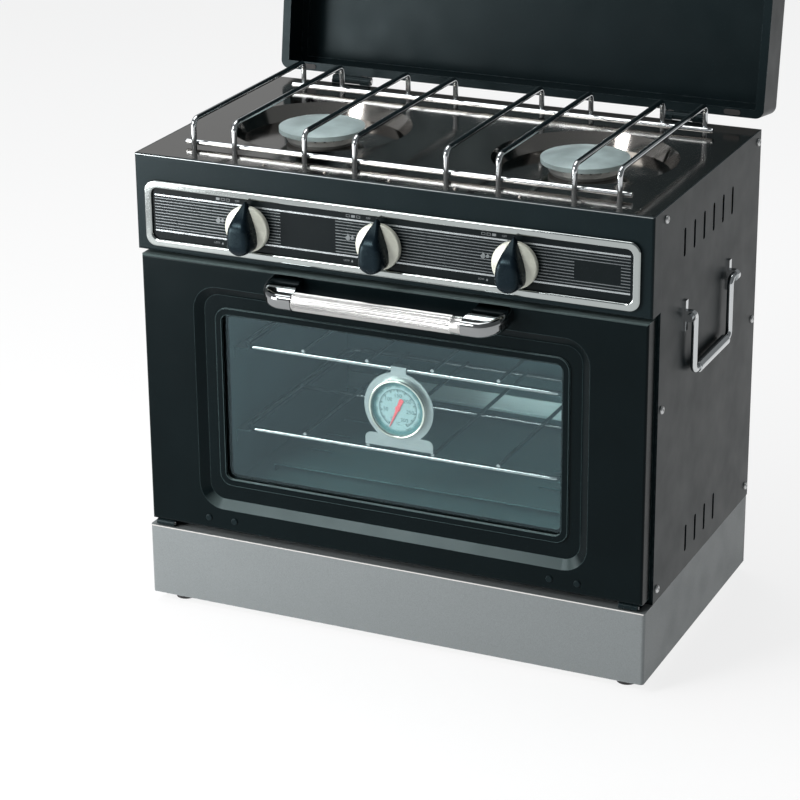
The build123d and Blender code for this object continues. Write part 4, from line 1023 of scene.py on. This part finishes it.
def make_knob_grips():
    """The three teardrop grips, each a smooth boat shape that narrows to a pointer."""
    for word in ("left", "middle", "right"):
        low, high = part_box(f"knob_grip_{word}")
        x = mm(low[0] + high[0]) / 2
        half = mm(high[0] - low[0]) / 2 * GRIP_FULLNESS
        top, bottom = mm(high[2]), mm(low[2])
        front = GRIP_PROUD - depth_of(low[1])
        base = -depth_of(high[1])
        tip = base + GRIP_TIP
        waist = bottom + GRIP_WAIST * (top - bottom)
        fall = waist - GRIP_FALL_START
        mesh = bmesh.new()
        rings = []
        for i in range(GRIP_ROWS + 1):
            z = top + (bottom - top) * (0.5 - 0.5 * math.cos(math.pi * i / GRIP_ROWS))
            if z > waist:
                width = half * (1 - ((z - waist) / (top - waist)) ** 1.6)
            else:
                past = (waist - z) / (waist - bottom)
                width = half * math.sqrt(max(0.0, 1 - past**3.6))
            width = max(width, GRIP_LEAST)
            slope = min(1.0, (top - z) / (0.5 * (top - bottom)))
            reach = tip + (front - tip) * math.sin(math.pi / 2 * slope) ** 1.15
            reach -= GRIP_FALL * max(0.0, (fall - z) / (fall - bottom)) ** 2.2
            ring = []
            for k in range(GRIP_ARCH + 1):
                cos, sin = math.cos(math.pi * k / GRIP_ARCH), math.sin(math.pi * k / GRIP_ARCH)
                side = math.copysign(abs(cos) ** GRIP_SQUARENESS, cos)
                rise = abs(sin) ** GRIP_SQUARENESS
                across = width * side * (1 - 0.05 * rise)
                depth = -(base + (reach - base) * rise)
                ring.append(mesh.verts.new(spot(x + across, depth, z)))
            rings.append(ring)
        skin_over(mesh, rings)
        black = FINISHES["knob_plastic"]
        made = piece(
            f"knob_grip_moulded_{word}", mesh, f"knob_{word}", black, smooth=True
        )
        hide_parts(f"knob_grip_{word}")


# -------------------------------------------------------------- small metal details

SCREW_RADIUS = 3.6
SCREW_HEIGHT = 2.0
SCREW_CORNERS = 32
CROSS_ARM = 0.52
CROSS_SLOT = 0.13


def cross_point(across, up, arm, slot):
    """Where a direction meets the outline of a plus sign."""
    if abs(across) < abs(up):
        return cross_point(up, across, arm, slot)[::-1]
    if abs(up) < 0.34:
        return math.copysign(arm, across), max(-slot, min(slot, up * arm))
    return math.copysign(slot, across), math.copysign(slot, up)


def pan_head(mesh, place, axis):
    """A pan-head screw with a cross recess, its head standing on the sheet."""
    axis, side, other = cross_axes(axis)
    turns = [2 * math.pi * i / SCREW_CORNERS for i in range(SCREW_CORNERS)]
    ways = [(math.cos(turn), math.sin(turn)) for turn in turns]

    def loop(points, along):
        at = place + axis * (along * SCREW_HEIGHT * MM)
        return [mesh.verts.new(at + (side * a + other * b) * MM) for a, b in points]

    def ring(share, along):
        reach = share * SCREW_RADIUS
        return loop([(a * reach, b * reach) for a, b in ways], along)

    def cross(share, along):
        arm, slot = share * CROSS_ARM * SCREW_RADIUS, share * CROSS_SLOT * SCREW_RADIUS
        return loop([cross_point(a, b, arm, slot) for a, b in ways], along)

    skin_over(mesh, [
        ring(1, 0), ring(1, 0.35), ring(0.93, 0.7), ring(0.75, 0.93), ring(0.6, 1),
        cross(1.0, 1), cross(0.8, 0.35),
    ])


SIDE_SCREW_DEPTHS = (30, 282)
REAR_SCREW_XS = (-238, -80, 80, 238)


def make_casing_screws():
    """Screws that hold the side and rear panels."""
    low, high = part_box("side_panel_left")
    z_rows = (mm(low[2]) + 12, mm(low[2] + high[2]) / 2, mm(high[2]) - 10)
    zinc = FINISHES["zinc_steel"]
    for name, x, hand in (("side_screws_left", low[0], -1), ("side_screws_right", -low[0], 1)):
        mesh = bmesh.new()
        for depth in SIDE_SCREW_DEPTHS:
            for z in z_rows:
                pan_head(mesh, Vector((x, FRONT + depth * MM, z * MM)), (hand, 0, 0))
        piece(name, mesh, "stove", zinc, smooth=True)
    mesh = bmesh.new()
    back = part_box("rear_panel")[1][1]
    for z in z_rows:
        # The middle row has screws at its ends only
        for x in REAR_SCREW_XS[::3] if z == z_rows[1] else REAR_SCREW_XS:
            pan_head(mesh, Vector((x * MM, back, z * MM)), (0, 1, 0))
    piece("rear_screws", mesh, "stove", zinc, smooth=True)


RIVET_XS = (-122, -62, 0, 62, 122)
RIVET_DEPTH = 11
RIVET = ((0, 0), (2.0, 0), (2.0, 0.25), (1.75, 0.75), (1.25, 1.15), (0.65, 1.38), (0, 1.45))


def make_hob_rivets():
    """Small domed rivets along the front edge of the hob."""
    top = mm(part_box("hob_pan")[1][2])
    mesh = bmesh.new()
    for x in RIVET_XS:
        lathe(mesh, RIVET, spot(x, RIVET_DEPTH, top), (0, 0, 1), 28)
    piece("hob_rivets", mesh, "stove", FINISHES["hob_steel"], smooth=True)


LIP_INSET = 2.0
LIP_LAP = 11.4
CORNER_STEPS = 8


def make_window_gasket():
    """A thin black rubber lip that the window glass rests against, all round its back."""
    low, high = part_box("window_glass")
    middle = face_centre("window_glass")
    half = (mm(high[0] - low[0]) / 2 - LIP_INSET, mm(high[2] - low[2]) / 2 - LIP_INSET)
    # Round the lip's section: inset from the outer edge, corner radius, height off the glass
    section = (
        (0, 6.0, 0.0), (0, 6.0, 0.5), (LIP_LAP - 0.3, 4.2, 0.6), (LIP_LAP, 4.0, 0.35),
        (LIP_LAP, 4.0, 0.0),
    )
    mesh = bmesh.new()
    loops = []
    for inset, corner, height in section:
        loop = []
        for cx, cz, start in ((1, 1, 0), (-1, 1, 90), (-1, -1, 180), (1, -1, 270)):
            for k in range(CORNER_STEPS + 1):
                angle = math.radians(start + 90 * k / CORNER_STEPS)
                x = middle[0] + cx * (half[0] - inset - corner) + corner * math.cos(angle)
                z = middle[1] + cz * (half[1] - inset - corner) + corner * math.sin(angle)
                loop.append(mesh.verts.new((x * MM, high[1] + height * MM, z * MM)))
        loops.append(loop)
    for near, far in zip(loops, loops[1:] + loops[:1]):
        join_loops(mesh, near, far)
    piece("window_gasket_lip", mesh, "door", FINISHES["gasket"])


EDGE_THICKNESS = 0.12


def make_painted_highlight_strip(name, under, inset, from_top, to_top, material):
    """A thin bright strip along the top front edge of a node, between two drops from its top: a
    painted highlight line for the light caught on that edge.
    """
    low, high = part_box(under)
    top = mm(high[2])
    strip = box_outline(mm(low[0]) + inset, top - from_top, mm(high[0]) - inset, top - to_top)
    mesh = bmesh.new()
    add_print(mesh, strip, depth_of(low[1]), EDGE_THICKNESS)
    piece(name, mesh, "stove", material)


make_border_lines()
make_pinstripes()
make_legends()
make_handle_bar()
make_dial_print()
make_pointer()
make_dial_case()
make_knob_grips()
make_casing_screws()
make_hob_rivets()
make_window_gasket()
# Both strips are painted highlight lines: on the plinth's rolled top edge and on the fascia's top
# front edge.
make_painted_highlight_strip("plinth_edge", "plinth", 1.0, 1.1, 0.1, FINISHES["painted_highlight_edge"])
make_painted_highlight_strip("hob_front_lip", "fascia", 1.5, 0.8, 0.2, FINISHES["dial_steel"])


# ------------------------------------------------------------- floor, light, camera

FLOOR_HALF = 9.0
FLOOR_GLOW = 0.8


def make_floor():
    """A wide pale studio floor that shows near white to the camera and in reflections."""
    mesh = bmesh.new()
    bmesh.ops.create_grid(mesh, x_segments=8, y_segments=8, size=FLOOR_HALF)
    data = bpy.data.meshes.new("studio_floor")
    mesh.to_mesh(data)
    mesh.free()
    floor = bpy.data.objects.new("studio_floor", data)
    bpy.context.scene.collection.objects.link(floor)
    material, tree, skin = finish("studio floor paint", Roughness=0.9, Specular_IOR_Level=0.1)
    mottle = noise(tree, node(tree, "ShaderNodeTexCoord").outputs["Object"], 1.2, 2.0)
    patches = spread(tree, mottle, 0.3, 0.7)
    join(tree, skin, blend_colour(tree, patches, (0.86, 0.86, 0.86), (0.89, 0.89, 0.89)))
    glow = node(tree, "ShaderNodeEmission", {0: (1, 1, 1), 1: 1.0})
    path = node(tree, "ShaderNodeLightPath").outputs
    seen = calc(tree, "MAXIMUM", path["Is Camera Ray"], path["Is Glossy Ray"])
    seen = calc(tree, "MAXIMUM", seen, path["Is Transmission Ray"])
    show(tree, calc(tree, "MULTIPLY", seen, FLOOR_GLOW), skin.outputs[0], glow.outputs[0])
    data.materials.append(material)


def soft_box(name, place, aim, size, watts):
    """A rectangular white studio lamp at a place, turned to a point."""
    lamp = bpy.data.lights.new(name, "AREA")
    lamp.shape = "RECTANGLE"
    lamp.size, lamp.size_y = size
    lamp.energy = watts
    holder = bpy.data.objects.new(name, lamp)
    holder.location = place
    holder.rotation_euler = (Vector(aim) - Vector(place)).to_track_quat("-Z", "Y").to_euler()
    bpy.context.scene.collection.objects.link(holder)


def make_world():
    """A pale surround: bright at the horizon, greyer overhead and to the right."""
    world = bpy.data.worlds.new("studio surround")
    bpy.context.scene.world = world
    world.use_nodes = True
    tree = world.node_tree
    tree.nodes.clear()
    part = axes(tree, node(tree, "ShaderNodeTexCoord").outputs["Generated"])
    height = spread(tree, part[2], 0.0, 0.75)
    level = blend_colour(tree, height, (0.5, 0.51, 0.52), (0.24, 0.25, 0.26))
    sideways = spread(tree, part[0], -0.7, 0.9)
    shaded = blend_colour(tree, sideways, level, (0.16, 0.17, 0.175))
    surround = node(tree, "ShaderNodeBackground", {0: shaded, 1: 1.0})
    node(tree, "ShaderNodeOutputWorld", {0: surround.outputs[0]})


CAMERA_PLACE = (0.9692, FRONT - 2.08074, 1.1426)
CAMERA_ROUND = 24.674
CAMERA_RISE = 21.4005
CAMERA_ROLL = -0.533
CAMERA_LENS = 124.9
CAMERA_SENSOR = 36


def make_camera():
    """The photograph's point of view."""
    around, rise, roll = (math.radians(v) for v in (CAMERA_ROUND, CAMERA_RISE, CAMERA_ROLL))
    back = Vector((
        math.sin(around) * math.cos(rise), -math.cos(around) * math.cos(rise), math.sin(rise)
    ))
    right = Vector((math.cos(around), math.sin(around), 0))
    up = back.cross(right)
    across = right * math.cos(roll) + up * math.sin(roll)
    upward = up * math.cos(roll) - right * math.sin(roll)
    turn = Matrix((across, upward, back)).transposed().to_4x4()
    lens = bpy.data.cameras.new("photo_camera")
    lens.lens = CAMERA_LENS
    lens.sensor_width = CAMERA_SENSOR
    lens.sensor_fit = "HORIZONTAL"
    lens.clip_start = 0.05
    lens.clip_end = 50
    camera = bpy.data.objects.new("photo_camera", lens)
    camera.matrix_world = Matrix.Translation(Vector(CAMERA_PLACE)) @ turn
    bpy.context.scene.collection.objects.link(camera)
    bpy.context.scene.camera = camera


make_floor()
make_world()
make_camera()
soft_box("near left box", (-0.95, -1.05, 0.36), (-0.1, -0.17, 0.25), (0.6, 0.6), 17)
soft_box("high left box", (-0.95, -1.75, 1.65), (0, -0.1, 0.25), (0.55, 0.55), 26)
soft_box("top box", (-0.5, 0.2, 2.6), (0, 0, 0.2), (2.0, 1.6), 42)
bpy.context.scene.view_settings.view_transform = "Standard"
